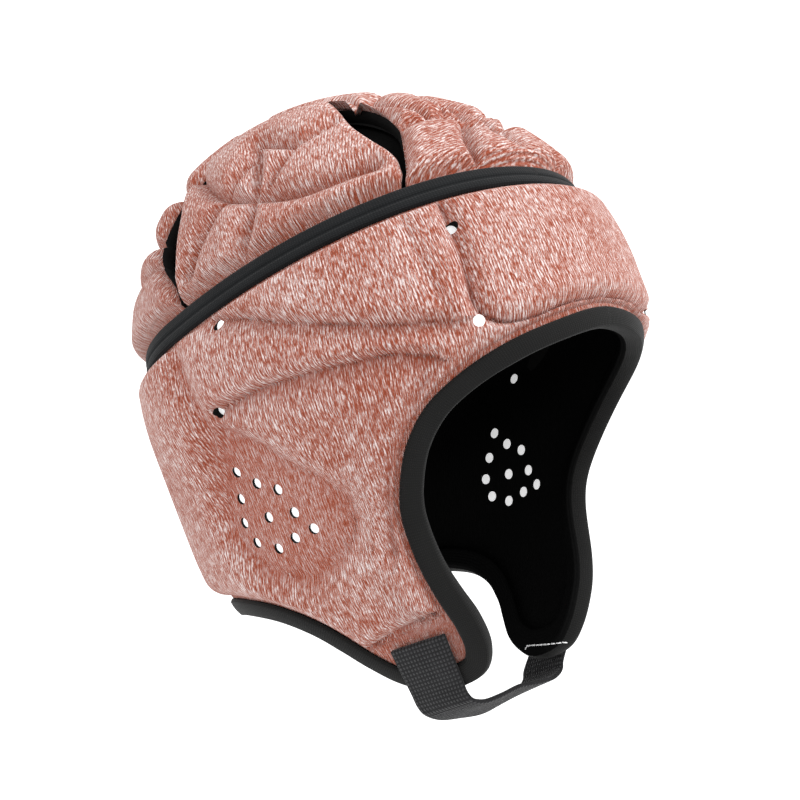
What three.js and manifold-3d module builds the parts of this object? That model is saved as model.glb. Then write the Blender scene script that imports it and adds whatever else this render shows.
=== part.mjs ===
// Padded sports head guard: side panel with ear flaps, three crown panels, linings, tape, binding and chin strap.
// Frame: +Z up, the face looks along -Y, the wearer's left is +X, the origin lies midway between the ears.
import * as THREE from "three";
import { mergeVertices } from "three/addons/utils/BufferGeometryUtils.js";
import Module from "manifold-3d";

const wasm = await Module();
wasm.setup();

// Outer head form, in millimetres
const capWidth = 188.8;
const foreheadReach = 130.5;
const napeReach = 68;
const browLevel = 50;
const levelStep = 35;
const crownRise = 113.5;
const sectionPower = 2.12;
const domePower = 1.93;

// Seam between the side panel and the crown: a plane that falls towards the back
const seamLevel = 76.4;
const seamSlope = 0.093;
const flapDrop = 84;

// Layers, as thicknesses and clearances
const formCover = 8.6;
const foldFoam = 3.2;
const sideRise = 6.2;
const crownRelief = 7.4;
const liningWall = 1.1;
const layerGap = 0.35;
const crownLiningGap = 1.6;
const seamGap = 0.9;

// Trims
const tapeWidth = 10;
const tapeWall = 1.2;
const bindingWidth = 9.6;
const bindingWall = 1.2;
const bindingSlot = 1;
const trimGap = 0.4;
const liningSlot = 0.9;
const trimRelief = 0.8;
const padStart = 1.6;
const strapWidth = 25;
const strapWall = 1.8;
const strapGap = 0.5;
const strapTurn = 53;
const strapSag = 6.5;
const strapTilt = 3;
const holeWidth = 4.6;
const holeReach = 75;
const browTurn = 30;

// Divisions of the faceted surfaces
const columnsPerRow = 2;
const sideRows = 11;
const innerRows = 5;
const holeSides = 6;
const marginRise = 5;
const edgeRise = 10;
const leastFoldReach = 9;
const foldPieces = 16;
const marginSharp = 0.8;
const rimEdge = 0.6;
const rimWidth = 7;
const rimSharp = 1.0;
const evenSpread = 0.6;
const bendFade = 2;
const cornerPull = 1.5;
const seamPieces = 90;
const seamPasses = 6;
const bandStations = 80;
const liningColumns = 32;
const liningRings = 6;
const liningMargin = 1.5;
const strapPieces = 40;
const edgeBlend = 2;
const footPull = 0.08;
const headPull = 0.25;

// Level sections of the form, one every levelStep down from the brow level.
// half, front and back are shares of the half width and of the two reaches.
const sections = [
  { half: 1, front: 1, back: 1 },
  { half: 0.855, front: 0.983, back: 1.266 },
  { half: 0.763, front: 0.649, back: 1.25 },
  { half: 0.572, front: 0.656, back: 1.022 },
  { half: 0.322, front: 0.575, back: 0.816 },
  { half: 0.229, front: 0.53, back: 0.632 },
];

// Lower edge of the side panel from the middle of the brow, down the face opening, round the flap and to the nape.
// turn is degrees from the front, level a share of browLevel above the ears and of flapDrop below them,
// and seamTurn the place on the seam that lies above it.
const edgeRows = [
  { turn: 0, level: 0.43, seamTurn: 0 },
  { turn: 10.3, level: 0.37, seamTurn: 11 },
  { turn: 17.9, level: 0.304, seamTurn: 19 },
  { turn: 25, level: 0.215, seamTurn: 28 },
  { turn: 30.6, level: 0.106, seamTurn: 37 },
  { turn: 34.5, level: -0.03, seamTurn: 46 },
  { turn: 36.8, level: -0.141, seamTurn: 54 },
  { turn: 38, level: -0.237, seamTurn: 61 },
  { turn: 37.8, level: -0.354, seamTurn: 67 },
  { turn: 37, level: -0.473, seamTurn: 72 },
  { turn: 35, level: -0.607, seamTurn: 76 },
  { turn: 31.8, level: -0.746, seamTurn: 79 },
  { turn: 30, level: -0.87, seamTurn: 81.5 },
  { turn: 32, level: -0.955, seamTurn: 84 },
  { turn: 43, level: -0.99, seamTurn: 87 },
  { turn: 55, level: -0.98, seamTurn: 90 },
  { turn: 67.7, level: -0.937, seamTurn: 94 },
  { turn: 77.4, level: -0.882, seamTurn: 98 },
  { turn: 86, level: -0.785, seamTurn: 103 },
  { turn: 92, level: -0.68, seamTurn: 108 },
  { turn: 99, level: -0.575, seamTurn: 114 },
  { turn: 110, level: -0.47, seamTurn: 123 },
  { turn: 127, level: -0.385, seamTurn: 135 },
  { turn: 145, level: -0.35, seamTurn: 149 },
  { turn: 163, level: -0.33, seamTurn: 164 },
  { turn: 180, level: -0.33, seamTurn: 180 },
];

// Stitched folds of the side panel: width is the reach of the rounded pad edge beside the fold,
// sharp the power of its profile, path pairs of turn and level as in edgeRows.
const sideFolds = [
  {
    name: "forehead_side", above: 6, below: 7, sharp: 0.8, depth: 1,
    path: [
      [22.6, 1.698], [22.9, 1.067], [23.2, 0.766], [20.8, 0.629], [15.6, 0.597], [8.4, 0.659], [0,
      0.691]
    ],
  },
  {
    name: "temple_strip", above: 7, below: 5, sharp: 1, depth: 0.3,
    path: [[30.1, 1.714], [29.2, 1.17], [27.8, 0.738]],
  },
  {
    name: "temple_pad", above: 15, below: 5, sharp: 0.9, depth: 0.9,
    path: [[88.1, 1.537], [66.7, 1.329], [56.3, 1.144], [46.9, 0.976], [36.8, 0.82], [27.9, 0.726]],
  },
  {
    name: "horn_pad", above: 16, below: 6, sharp: 0.9, depth: 1,
    path: [[80.6, 0.753], [67.3, 0.756], [56, 0.717], [46, 0.667], [37, 0.607], [31.3, 0.511]],
  },
  {
    name: "back_valley", above: 11, below: 13, sharp: 1.4, depth: 0.8,
    path: [[89, 1.495], [86.5, 1.11], [85.7, 0.709], [92.3, 0.424], [100.1, 0.119]],
  },
  {
    name: "cheek_side", above: 9, below: 9, sharp: 1.4, depth: 0.8,
    path: [[33.4, 0.406], [39.2, 0.163], [44.7, -0.057], [47.5, -0.193], [49.5, -0.345]],
  },
  {
    name: "tab_step", above: 5, below: 8, sharp: 1, depth: 1,
    path: [[84.3, -0.721], [60.9, -0.676], [44.4, -0.651], [35.8, -0.647]],
  },
];

// Parts of the side panel that stay low: rise is a share of sideRise.
const sideHollows = [
  {
    name: "ear_bowl", width: 12, sharp: 1.1, rise: 0.12,
    outline: [
      [82.5, 0.625], [92.1, 0.368], [99.7, 0.069], [99.8, -0.092], [92.5, -0.26], [82.2, -0.329], [69.8,
      -0.326], [59.1, -0.232], [56.4, -0.123], [62.6, 0.059], [68.8, 0.219], [75.1, 0.427]
    ],
  },
  {
    name: "flap_tab", width: 6, sharp: 1, rise: 0.1,
    outline: [
      [84.4, -0.742], [60.9, -0.697], [44.4, -0.672], [30.9, -0.666], [19.2, -1.294], [74.2, -1.294]
    ],
  },
];

// Air holes of the side panel
const holes = [
  [88.6, 0.337], [83.4, 0.212], [77.1, 0.11], [74.8, -0.052], [70.7, -0.15], [78.4, -0.154], [86.5, -0.167], [94.3, -0.102],
  [95.7, 0.003], [92.3, 0.166], [84.7, -0.023], [80.4, 0.74], [72.1, 1.352], [23.6, 0.658], [22.5, 1.374],
];

// Outlines of the crown panels in the plan of the dome: turn from the front and fall from the top, in degrees.
const frontSeamTurn = 26.5;
const backSeamTurn = 83;
const frontVent = {
  foot: [25.2, 65.5],
  panel: [[24.4, 60.5], [25.8, 55], [26.9, 48.5], [26.2, 42], [24.3, 36.4]],
  head: [21, 30],
  middle: [[23.2, 60.3], [20.8, 54.7], [18.6, 49.4], [17.6, 43.5], [17.8, 36]],
};
const backVent = {
  foot: [84.8, 67.6],
  panel: [[84.9, 63.5], [85.3, 58.5], [85.6, 53.5], [87.3, 48]],
  head: [90.5, 40],
  middle: [[87.6, 64.6], [93.2, 59.3], [97.5, 54], [99, 48.5], [96.5, 43]],
};
const topSeam = [[38, 26.5], [58, 25], [77, 30]];

const crownFolds = [
  {
    name: "arch", above: 12, below: 9, sharp: 0.8, depth: 1,
    path: [[86.5, 36.3], [73.5, 46.3], [66.4, 52.3], [56.9, 57.2], [44.8, 61.9], [29.7, 62.2]],
  },
  {
    name: "branch_back", above: 10, below: 10, sharp: 0.8, depth: 1,
    path: [[55, 39.9], [55.5, 44.2], [65.1, 53.5], [75.2, 63.1], [78.1, 67.7]],
  },
  {
    name: "branch_mid", above: 10, below: 10, sharp: 0.9, depth: 1,
    path: [[53.8, 41], [54.9, 53.6], [58.8, 64.3], [62.8, 72.2]],
  },
  {
    name: "branch_front", above: 11, below: 10, sharp: 0.8, depth: 1,
    path: [[53.1, 38.5], [45.9, 44.2], [41.3, 46.9], [34.2, 45.3], [30.1, 43.5]],
  },
  {
    name: "branch_low", above: 9, below: 9, sharp: 0.9, depth: 1,
    path: [[41.3, 46.9], [48.2, 52.3], [51.4, 56]],
  },
];
const middleFolds = [
  {
    name: "brow_row", above: 8, below: 8, sharp: 0.8, depth: 1,
    path: [[18.4, 51.3], [6.2, 54.1], [0, 62.5]],
  },
  {
    name: "second_row", above: 8, below: 8, sharp: 0.8, depth: 1,
    path: [[19, 53], [10, 50.5], [0, 47]],
  },
  {
    name: "top_row", above: 9, below: 9, sharp: 0.8, depth: 1,
    path: [[26, 37], [17, 36], [8, 33], [0, 32]],
  },
  {
    name: "brow_post", above: 7, below: 7, sharp: 0.8, depth: 1,
    path: [[5.5, 54], [10.3, 60.9], [12.5, 70.4]],
  },
  {
    name: "row_post", above: 8, below: 8, sharp: 0.8, depth: 1,
    path: [[4.1, 52.3], [3.6, 47.3], [3.1, 42.3]],
  },
  {
    name: "mid_line", above: 8, below: 8, sharp: 0.8, depth: 1,
    path: [[0, 8], [0, 30], [0, 50], [0, 62]],
  },
  {
    name: "dome_post", above: 8, below: 8, sharp: 0.8, depth: 1,
    path: [[11, 50], [15, 43], [16, 36]],
  },
  {
    name: "top_cross", above: 10, below: 10, sharp: 0.8, depth: 1,
    path: [[58, 31], [60, 17], [70, 8], [0, 0]],
  },
  {
    name: "crown_back", above: 10, below: 10, sharp: 0.8, depth: 1,
    path: [[84, 45], [115, 34], [150, 26], [180, 24]],
  },
  {
    name: "ear_row", above: 10, below: 10, sharp: 0.8, depth: 1,
    path: [[95, 53], [118, 50], [150, 48], [180, 47]],
  },
  {
    name: "nape_row", above: 10, below: 10, sharp: 0.8, depth: 1,
    path: [[94.2, 59.3], [116, 62], [148, 60], [180, 60]],
  },
  {
    name: "back_post", above: 9, below: 9, sharp: 0.8, depth: 1,
    path: [[150, 26], [148, 48], [146, 72]],
  },
];

// Chin strap on the right half: levels of its stretch on the flap, as shares of flapDrop, then its free stretch,
// where across is a share of its distance from the middle and drop a share of strapSag.
const strapLevels = [-0.738, -0.8, -0.865, -0.93, -1.0];
const strapRows = [
  { across: 0.94, drop: 0.42 },
  { across: 0.75, drop: 0.82 },
  { across: 0.4, drop: 0.97 },
  { across: 0, drop: 1 },
];

const looks = {
  knit: { color: 0xdb9c8c, roughness: 0.95, metalness: 0 },
  lining: { color: 0x0c0c0c, roughness: 0.95, metalness: 0 },
  tape: { color: 0x26282a, roughness: 0.85, metalness: 0 },
  binding: { color: 0x222220, roughness: 0.9, metalness: 0 },
  webbing: { color: 0x2c2c2d, roughness: 0.85, metalness: 0 },
};

const lerp = THREE.MathUtils.lerp;
const clamp = THREE.MathUtils.clamp;
const radians = THREE.MathUtils.degToRad;

// Head form

function sectionAt(z) {
  const place = clamp((browLevel - z) / levelStep, 0, sections.length - 1.001);
  const row = Math.floor(place);
  const t = place - row;
  const at = (index, key) => sections[Math.abs(index)]?.[key] ?? 2 * at(index - 1, key) - at(index - 2, key);
  const value = (key) => {
    const [p, q, r, s] = [-1, 0, 1, 2].map((step) => at(row + step, key));
    const bend = 2 * p - 5 * q + 4 * r - s + (3 * (q - r) + s - p) * t;
    return q + 0.5 * t * (r - p + t * bend);
  };
  return {
    half: (capWidth / 2) * value("half"),
    front: foreheadReach * value("front"),
    back: napeReach * value("back"),
  };
}

// Size of the form that passes through a point, 1 on the form itself
function formSize(point) {
  const { half, front, back } = sectionAt(point.z);
  const depth = point.y < 0 ? front : back;
  const flat = (Math.abs(point.x / half) ** sectionPower + Math.abs(point.y / depth) ** sectionPower) ** (1 / sectionPower);
  const rise = Math.max(point.z - browLevel, 0) / crownRise;
  return (flat ** domePower + rise ** domePower) ** (1 / domePower);
}

function onForm(point) {
  const size = formSize(point);
  const base = Math.max(point.z, browLevel) === browLevel ? point.z : browLevel;
  return new THREE.Vector3(point.x / size, point.y / size, base + (point.z - base) / size);
}

function outward(point) {
  const step = 0.2;
  const slope = (axis) => {
    const ahead = point.clone().setComponent(axis, point.getComponent(axis) + step);
    const behind = point.clone().setComponent(axis, point.getComponent(axis) - step);
    return formSize(ahead) - formSize(behind);
  };
  return new THREE.Vector3(slope(0), slope(1), slope(2)).normalize();
}

function offForm(point, offset) {
  return point.clone().addScaledVector(outward(point), offset);
}

// Point of the form at a turn from the front, towards the wearer's right, and a height
function atHeight(turn, z) {
  const ray = new THREE.Vector3(-Math.sin(radians(turn)), -Math.cos(radians(turn)), Math.min(z, browLevel));
  const rise = clamp((z - browLevel) / crownRise, 0, 1);
  const reach = (1 - rise ** domePower) ** (1 / domePower) / formSize(ray);
  return new THREE.Vector3(ray.x * reach, ray.y * reach, z);
}

function atLevel([turn, level]) {
  return atHeight(turn, level * (level > 0 ? browLevel : flapDrop));
}

function atFall([turn, fall]) {
  return atHeight(turn, browLevel + crownRise * Math.cos(radians(fall)) ** (2 / domePower));
}

function seamPoint(turn) {
  let point = atHeight(turn, seamLevel);
  for (let pass = 0; pass < seamPasses; pass += 1) {
    point = atHeight(turn, seamLevel - seamSlope * point.y);
  }
  return point;
}

// Plan of the dome: degrees from the top, x to the wearer's right and y to the front
function toPlan([turn, fall]) {
  return new THREE.Vector2(Math.sin(radians(turn)), Math.cos(radians(turn))).multiplyScalar(fall);
}

function fromPlan(plan) {
  return atFall([THREE.MathUtils.radToDeg(Math.atan2(plan.x, plan.y)), plan.length()]);
}

function seamPlan(turn, distance = 0) {
  const rise = (seamAcross(turn, distance).z - browLevel) / crownRise;
  return toPlan([turn, THREE.MathUtils.radToDeg(Math.acos(rise ** (domePower / 2)))]);
}

function mirrored(point) {
  return point.clone().setX(-point.x);
}

// Lines and distances

function smoothLine(points, pieces, closed = false) {
  const curve = new THREE.CatmullRomCurve3(points, closed, "centripetal");
  return curve.getPoints(pieces).map(onForm);
}

function onRight(point) {
  return point.clone().setX(-Math.abs(point.x));
}

// Nearest distance to a line, and whether the point lies on the upper side of a line that runs to the back
function nearestOn(line, point, normal) {
  const segment = new THREE.Line3();
  const nearest = new THREE.Vector3();
  const found = { distance: Infinity, upper: false };
  for (let index = 1; index < line.length; index += 1) {
    segment.set(line[index - 1], line[index]).closestPointToPoint(point, true, nearest);
    const away = point.clone().sub(nearest);
    if (away.length() < found.distance) {
      found.distance = away.length();
      found.upper = away.dot(segment.delta(new THREE.Vector3()).cross(normal)) > 0;
    }
  }
  return found;
}

function distanceTo(line, point) {
  return nearestOn(line, point, point).distance;
}

function padEdge(distance, width, sharp) {
  return (1 - (1 - clamp(distance / width, 0, 1)) ** 2) ** sharp;
}

// Height from 0 in a fold to 1 on the pads; both halves share the folds of the wearer's right
function foldHeight(point, folds) {
  const right = onRight(point);
  const normal = outward(right);
  const heights = folds.map((fold) => {
    const { distance, upper } = nearestOn(fold.line, right, normal);
    const width = Math.max(upper ? fold.above : fold.below, leastFoldReach);
    return 1 - fold.depth * (1 - padEdge(distance, width, fold.sharp));
  });
  return Math.min(1, ...heights);
}

function insideOutline([turn, level], outline) {
  let inside = false;
  outline.forEach(([x, y], index) => {
    const [px, py] = outline.at(index - 1);
    const crosses = y > level !== py > level && turn < ((px - x) * (level - y)) / (py - y) + x;
    inside = inside !== crosses;
  });
  return inside;
}

// Faceted shells

function addStrip(faces, first, second, closed) {
  // joins two rows of vertex numbers whose lengths are in a whole ratio
  const many = first.length >= second.length ? first : second;
  const few = many === first ? second : first;
  const turned = many !== first;
  const spans = closed ? few.length : few.length - 1;
  const ratio = Math.round((closed ? many.length : many.length - 1) / spans);
  const push = (a, b, c) => faces.push(...(turned ? [a, c, b] : [a, b, c]));
  for (let span = 0; span < spans; span += 1) {
    const near = few[span];
    const far = few[(span + 1) % few.length];
    const middle = Math.ceil(ratio / 2);
    for (let step = 0; step < ratio; step += 1) {
      const from = many[span * ratio + step];
      const to = many[(span * ratio + step + 1) % many.length];
      push(from, to, step < middle ? near : far);
      if (step === middle - 1) push(to, far, near);
    }
  }
}

// The diagonals lean one way on each half, so that a mirrored grid gives mirrored faces
function addGrid(faces, grid, closed, flipped) {
  for (let row = 1; row < grid.length; row += 1) {
    const width = grid[row].length;
    for (let column = 0; column < (closed ? width : width - 1); column += 1) {
      const next = (column + 1) % width;
      const [a, b, c, d] = [grid[row - 1][column], grid[row - 1][next], grid[row][next], grid[row][column]];
      const pair = column < (width - 1) / 2 ? [[a, b, c], [a, c, d]] : [[a, b, d], [b, c, d]];
      pair.forEach((face) => faces.push(...(flipped ? face.reverse() : face)));
    }
  }
}

// The four sides of a grid, in order round it
function gridSides(grid) {
  const right = grid.map((row) => row.at(-1));
  const left = grid.map((row) => row[0]);
  return [grid[0], right, grid.at(-1).slice().reverse(), left.reverse()];
}

function solidGeometry(points, faces) {
  const volume = (a, b, c) => points[a].dot(points[b].clone().cross(points[c]));
  let total = 0;
  for (let index = 0; index < faces.length; index += 3) {
    total += volume(faces[index], faces[index + 1], faces[index + 2]);
  }
  const out = total < 0 ? faces.slice().reverse() : faces;
  const geometry = new THREE.BufferGeometry().setFromPoints(points);
  geometry.setIndex(out);
  return geometry;
}

// A wall between an outer and an inner grid of points; a closed one runs round as a ring
function wallGeometry(outer, inner, closed) {
  const points = [];
  const number = (grid) => grid.map((row) => row.map((point) => points.push(point) - 1));
  const outside = number(outer);
  const inside = number(inner);
  const faces = [];
  addGrid(faces, outside, closed, false);
  addGrid(faces, inside, closed, true);
  if (closed) {
    addStrip(faces, outside.at(-1), inside.at(-1), true);
    addStrip(faces, inside[0], outside[0], true);
  } else {
    const outsides = gridSides(outside);
    gridSides(inside).forEach((side, index) => addStrip(faces, side, outsides[index], false));
  }
  return solidGeometry(points, faces);
}

// A section carried along a closed or open row of stations
function sweptGeometry(stations, closed) {
  const points = stations.flat();
  const count = stations[0].length;
  const grid = stations.map((station, row) => station.map((_, index) => row * count + index));
  const faces = [];
  addGrid(faces, closed ? [...grid, grid[0]] : grid, true, false);
  if (!closed) {
    const cap = (ring) => {
      for (let index = 1; index < count - 1; index += 1) faces.push(ring[0], ring[index + 1], ring[index]);
    };
    cap(grid[0]);
    cap(grid.at(-1).slice().reverse());
  }
  return solidGeometry(points, faces);
}

function solidOf(geometry) {
  const bare = geometry.clone();
  bare.deleteAttribute("normal");
  bare.deleteAttribute("uv");
  const merged = mergeVertices(bare);
  return new wasm.Manifold(new wasm.Mesh({
    numProp: 3,
    vertProperties: merged.attributes.position.array,
    triVerts: new Uint32Array(merged.index.array),
  }));
}

function geometryOf(solid) {
  const mesh = solid.getMesh();
  const geometry = new THREE.BufferGeometry();
  geometry.setAttribute("position", new THREE.BufferAttribute(mesh.vertProperties, mesh.numProp));
  geometry.setIndex(new THREE.BufferAttribute(mesh.triVerts, 1));
  return geometry;
}

// Each hole narrows slightly towards the middle of the head
function holeCutter(point) {
  const cutter = new THREE.ConeGeometry(holeWidth, 2 * holeReach, holeSides);
  const turn = new THREE.Quaternion().setFromUnitVectors(new THREE.Vector3(0, -1, 0), outward(point));
  cutter.applyQuaternion(turn);
  cutter.translate(...point.toArray());
  return solidOf(cutter);
}

function pierced(geometry, places) {
  const cutters = places.flatMap((hole) => {
    const point = atLevel(hole);
    return [point, mirrored(point)].map(holeCutter);
  });
  return geometryOf(cutters.reduce((solid, cutter) => solid.subtract(cutter), solidOf(geometry)));
}

// Side panel and what follows its edge

const halfEdge = edgeRows.map(({ turn, level }) => atLevel([turn, level]));
const wholeEdge = [...halfEdge, ...halfEdge.slice(1, -1).reverse().map(mirrored)];
const edgeCurve = new THREE.CatmullRomCurve3(wholeEdge, true, "centripetal");
const edgeCount = wholeEdge.length * columnsPerRow;

// Stations follow partly the rows of the table and partly the length of the edge
const edgeSteps = Array.from({ length: edgeCount }, (_, index) => {
  const share = index / edgeCount;
  return lerp(share, edgeCurve.getUtoTmapping(share), evenSpread);
});
const edgePlaces = edgeSteps.map((step) => onForm(edgeCurve.getPoint(step)));
const edgeNormals = edgePlaces.map(outward);

function stationNear(list, index) {
  return list[(index + edgeCount) % edgeCount];
}

// The direction into the panel is averaged over neighbours, so that it fans evenly at the flap's corners
function edgeInward(index) {
  const sum = new THREE.Vector3();
  for (let step = -edgeBlend; step <= edgeBlend; step += 1) {
    const along = stationNear(edgePlaces, index + step + 1).clone().sub(stationNear(edgePlaces, index + step - 1));
    sum.add(along.cross(stationNear(edgeNormals, index + step)).normalize());
  }
  const normal = edgeNormals[index];
  return sum.addScaledVector(normal, -sum.dot(normal)).normalize();
}

const edgeStations = edgePlaces.map((place, index) => {
  const row = Math.min(edgeSteps[index], 1 - edgeSteps[index]) * wholeEdge.length;
  const from = edgeRows[Math.floor(row)];
  const to = edgeRows[Math.min(Math.floor(row) + 1, edgeRows.length - 1)];
  const turn = lerp(from.seamTurn, to.seamTurn, row % 1);
  return { place, inward: edgeInward(index), seamTurn: index > edgeCount / 2 ? -turn : turn };
});

function fromEdge(station, distance) {
  return onForm(station.place.clone().addScaledVector(station.inward, distance));
}

const edgeLine = [...edgeStations, edgeStations[0]].map(({ place }) => place);

function seamAcross(turn, distance) {
  const point = seamPoint(turn);
  return atHeight(turn, point.z + distance * Math.sqrt(1 - outward(point).z ** 2));
}

function sideColumn(station, rows) {
  const bound = fromEdge(station, bindingWall + bindingSlot);
  const foot = fromEdge(station, bindingWidth + trimRelief);
  const head = seamAcross(station.seamTurn, -tapeWidth / 2 - trimRelief);
  const top = seamAcross(station.seamTurn, -seamGap / 2);
  const reach = foot.distanceTo(head);
  const column = new THREE.CubicBezierCurve3(
    foot,
    foot.clone().addScaledVector(station.inward, reach * footPull),
    head.clone().setZ(head.z - reach * headPull),
    head,
  );
  const middle = Array.from({ length: rows - 1 }, (_, row) => onForm(column.getPoint(row / (rows - 2))));
  return [bound, ...middle, top];
}

function transposed(grid) {
  return grid[0].map((_, index) => grid.map((row) => row[index]));
}

const sideFoldLines = sideFolds.map((fold) => ({ ...fold, line: smoothLine(fold.path.map(atLevel), foldPieces) }));
const hollowLines = sideHollows.map((hollow) => ({
  ...hollow,
  line: smoothLine([...hollow.outline, hollow.outline[0]].map(atLevel), 2 * foldPieces),
}));
const seamTurns = Array.from({ length: seamPieces + 1 }, (_, index) => (360 * index) / seamPieces);
const seamLine = seamTurns.map(seamPoint);

function sideHeight(point) {
  const right = onRight(point);
  const turn = THREE.MathUtils.radToDeg(Math.atan2(-right.x, -right.y));
  const place = [turn, point.z / (point.z > 0 ? browLevel : flapDrop)];
  const low = sideHollows.find((hollow) => insideOutline(place, hollow.outline));
  const margins = [
    ...hollowLines.map(({ line, width, sharp }) => padEdge(distanceTo(line, right), width, sharp)),
    padEdge(distanceTo(edgeLine, point) - bindingWidth - padStart, edgeRise, marginSharp),
    padEdge(distanceTo(seamLine, point) - tapeWidth / 2 - padStart, marginRise, marginSharp),
  ];
  return sideRise * Math.min(foldHeight(point, sideFoldLines), ...margins) * (low ? low.rise : 1);
}

function layer(grid, offset) {
  return grid.map((row) => row.map((point) => offForm(point, offset)));
}

function everySecond(list) {
  return list.filter((_, index) => index % 2 === 0);
}

function sidePanel() {
  const outer = transposed(edgeStations.map((station) => sideColumn(station, sideRows)));
  const inner = transposed(everySecond(edgeStations).map((station) => sideColumn(station, innerRows)));
  const raised = outer.map((row) => row.map((point) => offForm(point, foldFoam - formCover + sideHeight(point))));
  return pierced(wallGeometry(raised, layer(inner, -formCover), true), holes);
}

function sideLining() {
  const grid = transposed(everySecond(edgeStations).map((station) => sideColumn(station, innerRows)));
  const face = -formCover - layerGap;
  // the holes beside the brow pad stop at the lining
  const through = holes.filter(([turn]) => turn > browTurn);
  return pierced(wallGeometry(layer(grid, face), layer(grid, face - liningWall), true), through);
}

function edgeBinding() {
  const outside = foldFoam - formCover + trimGap;
  const inside = -formCover - layerGap - liningWall - liningSlot;
  const stations = edgeStations.map((station) => {
    const at = (distance, offset) => offForm(fromEdge(station, distance), offset);
    return [
      at(bindingWidth, outside),
      at(bindingWidth, outside + bindingWall),
      at(0, outside + bindingWall),
      at(0, inside - bindingWall),
      at(bindingWidth, inside - bindingWall),
      at(bindingWidth, inside),
      at(bindingWall, inside),
      at(bindingWall, outside),
    ];
  });
  return sweptGeometry(stations, true);
}

function crownBand() {
  const bottom = foldFoam - formCover + trimGap;
  const stations = Array.from({ length: bandStations }, (_, index) => {
    const turn = (360 * index) / bandStations;
    const at = (side, offset) => offForm(seamAcross(turn, (side * tapeWidth) / 2), offset);
    return [at(-1, bottom), at(-1, bottom + tapeWall), at(1, bottom + tapeWall), at(1, bottom)];
  });
  return sweptGeometry(stations, true);
}

// Crown panels

function planLine(points) {
  return new THREE.SplineCurve(points);
}

// Joins plan curves end to end; each gets its share of the divisions
function planSide(curves, shares) {
  const points = curves.flatMap((curve, index) => {
    const list = curve.getPoints(shares[index]);
    return index === 0 ? list : list.slice(1);
  });
  return points;
}

// Grid of plan points between four sides, each corner shared by two sides; the bends of the left and right
// sides fade out towards the middle
function planGrid(bottom, top, left, right) {
  const rows = left.length - 1;
  const columns = bottom.length - 1;
  return left.map((_, row) => bottom.map((__, column) => {
    const u = column / columns;
    const v = row / rows;
    const leftBend = left[row].clone().sub(bottom[0].clone().lerp(top[0], v));
    const rightBend = right[row].clone().sub(bottom[columns].clone().lerp(top[columns], v));
    const along = bottom[column].clone().lerp(top[column], v);
    return along.addScaledVector(leftBend, (1 - u) ** bendFade).addScaledVector(rightBend, u ** bendFade);
  }));
}

function planArc(fromTurn, toTurn, count, distance) {
  return Array.from({ length: count + 1 }, (_, index) => seamPlan(lerp(fromTurn, toTurn, index / count), distance));
}

const divisions = { seam: 1, ventMiddle: 6, ventPanel: 10, top: 12, middle: 20 };
const tapeReach = tapeWidth / 2 + trimRelief;

function seamCurve(turn, foot) {
  return planLine([seamPlan(turn, tapeReach), toPlan(foot)]);
}

function ventCurve(vent, side) {
  return planLine([vent.foot, ...vent[side], vent.head].map(toPlan));
}

function topCurve() {
  return planLine([frontVent.head, ...topSeam, backVent.head].map(toPlan));
}

function rightPanelPlan() {
  const shares = [divisions.seam, divisions.ventPanel];
  const front = planSide([seamCurve(frontSeamTurn, frontVent.foot), ventCurve(frontVent, "panel")], shares);
  const back = planSide([seamCurve(backSeamTurn, backVent.foot), ventCurve(backVent, "panel")], shares);
  const bottom = planArc(frontSeamTurn, backSeamTurn, divisions.top, tapeReach);
  const underTape = planArc(frontSeamTurn, backSeamTurn, divisions.top, 0);
  return [underTape, ...planGrid(bottom, topCurve().getPoints(divisions.top), front, back)];
}

function middlePanelPlan() {
  const backOfVent = planLine([backVent.head, ...backVent.middle.slice().reverse(), backVent.foot].map(toPlan));
  const curves = [
    seamCurve(frontSeamTurn, frontVent.foot),
    ventCurve(frontVent, "middle"),
    topCurve(),
    backOfVent,
    planLine([toPlan(backVent.foot), seamPlan(backSeamTurn, tapeReach)]),
  ];
  const shares = [divisions.seam, divisions.ventMiddle, divisions.top, divisions.ventMiddle, divisions.seam];
  const right = planSide(curves, shares);
  const left = right.map((plan) => new THREE.Vector2(-plan.x, plan.y));
  const [frontEdge, front] = [0, tapeReach].map((distance) => (
    planArc(-frontSeamTurn, frontSeamTurn, divisions.middle, distance)));
  const [backEdge, back] = [0, tapeReach].map((distance) => (
    planArc(360 - backSeamTurn, backSeamTurn, divisions.middle, distance)));
  return [frontEdge, ...planGrid(front, back, left, right), backEdge];
}

// Draws a plan's border in by half the seam gap
function drawnIn(grid) {
  const points = grid.map((row) => row.map(fromPlan));
  const last = points.length - 1;
  return points.map((row, i) => row.map((point, j) => {
    const end = row.length - 1;
    const inner = points[clamp(i, 1, last - 1)][clamp(j, 1, end - 1)];
    if (inner === point) return point;
    const corner = (i === 0 || i === last) && (j === 0 || j === end);
    const pull = inner.clone().sub(point).setLength(seamGap * (corner ? cornerPull : 1));
    return onForm(point.clone().add(pull));
  }));
}

function crownPanel(plan, folds) {
  const grid = drawnIn(plan);
  const rimLine = gridSides(grid).flat();
  const outer = grid.map((row) => row.map((point) => {
    const height = Math.min(
      foldHeight(point, folds),
      padEdge(distanceTo(rimLine, point) + rimEdge, rimWidth, rimSharp),
      padEdge(distanceTo(seamLine, point) - tapeWidth / 2 - padStart, marginRise, marginSharp),
    );
    return offForm(point, foldFoam - formCover + crownRelief * height);
  }));
  const inner = everySecond(grid);
  return wallGeometry(outer, layer(inner, -formCover), false);
}

function fallLines(folds) {
  return folds.map((fold) => ({ ...fold, line: smoothLine(fold.path.map(atFall), foldPieces) }));
}

function crownSide(side) {
  const plan = rightPanelPlan();
  const placed = side > 0 ? plan : plan.map((row) => row.map((point) => new THREE.Vector2(-point.x, point.y)));
  return crownPanel(placed, fallLines(crownFolds));
}

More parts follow.
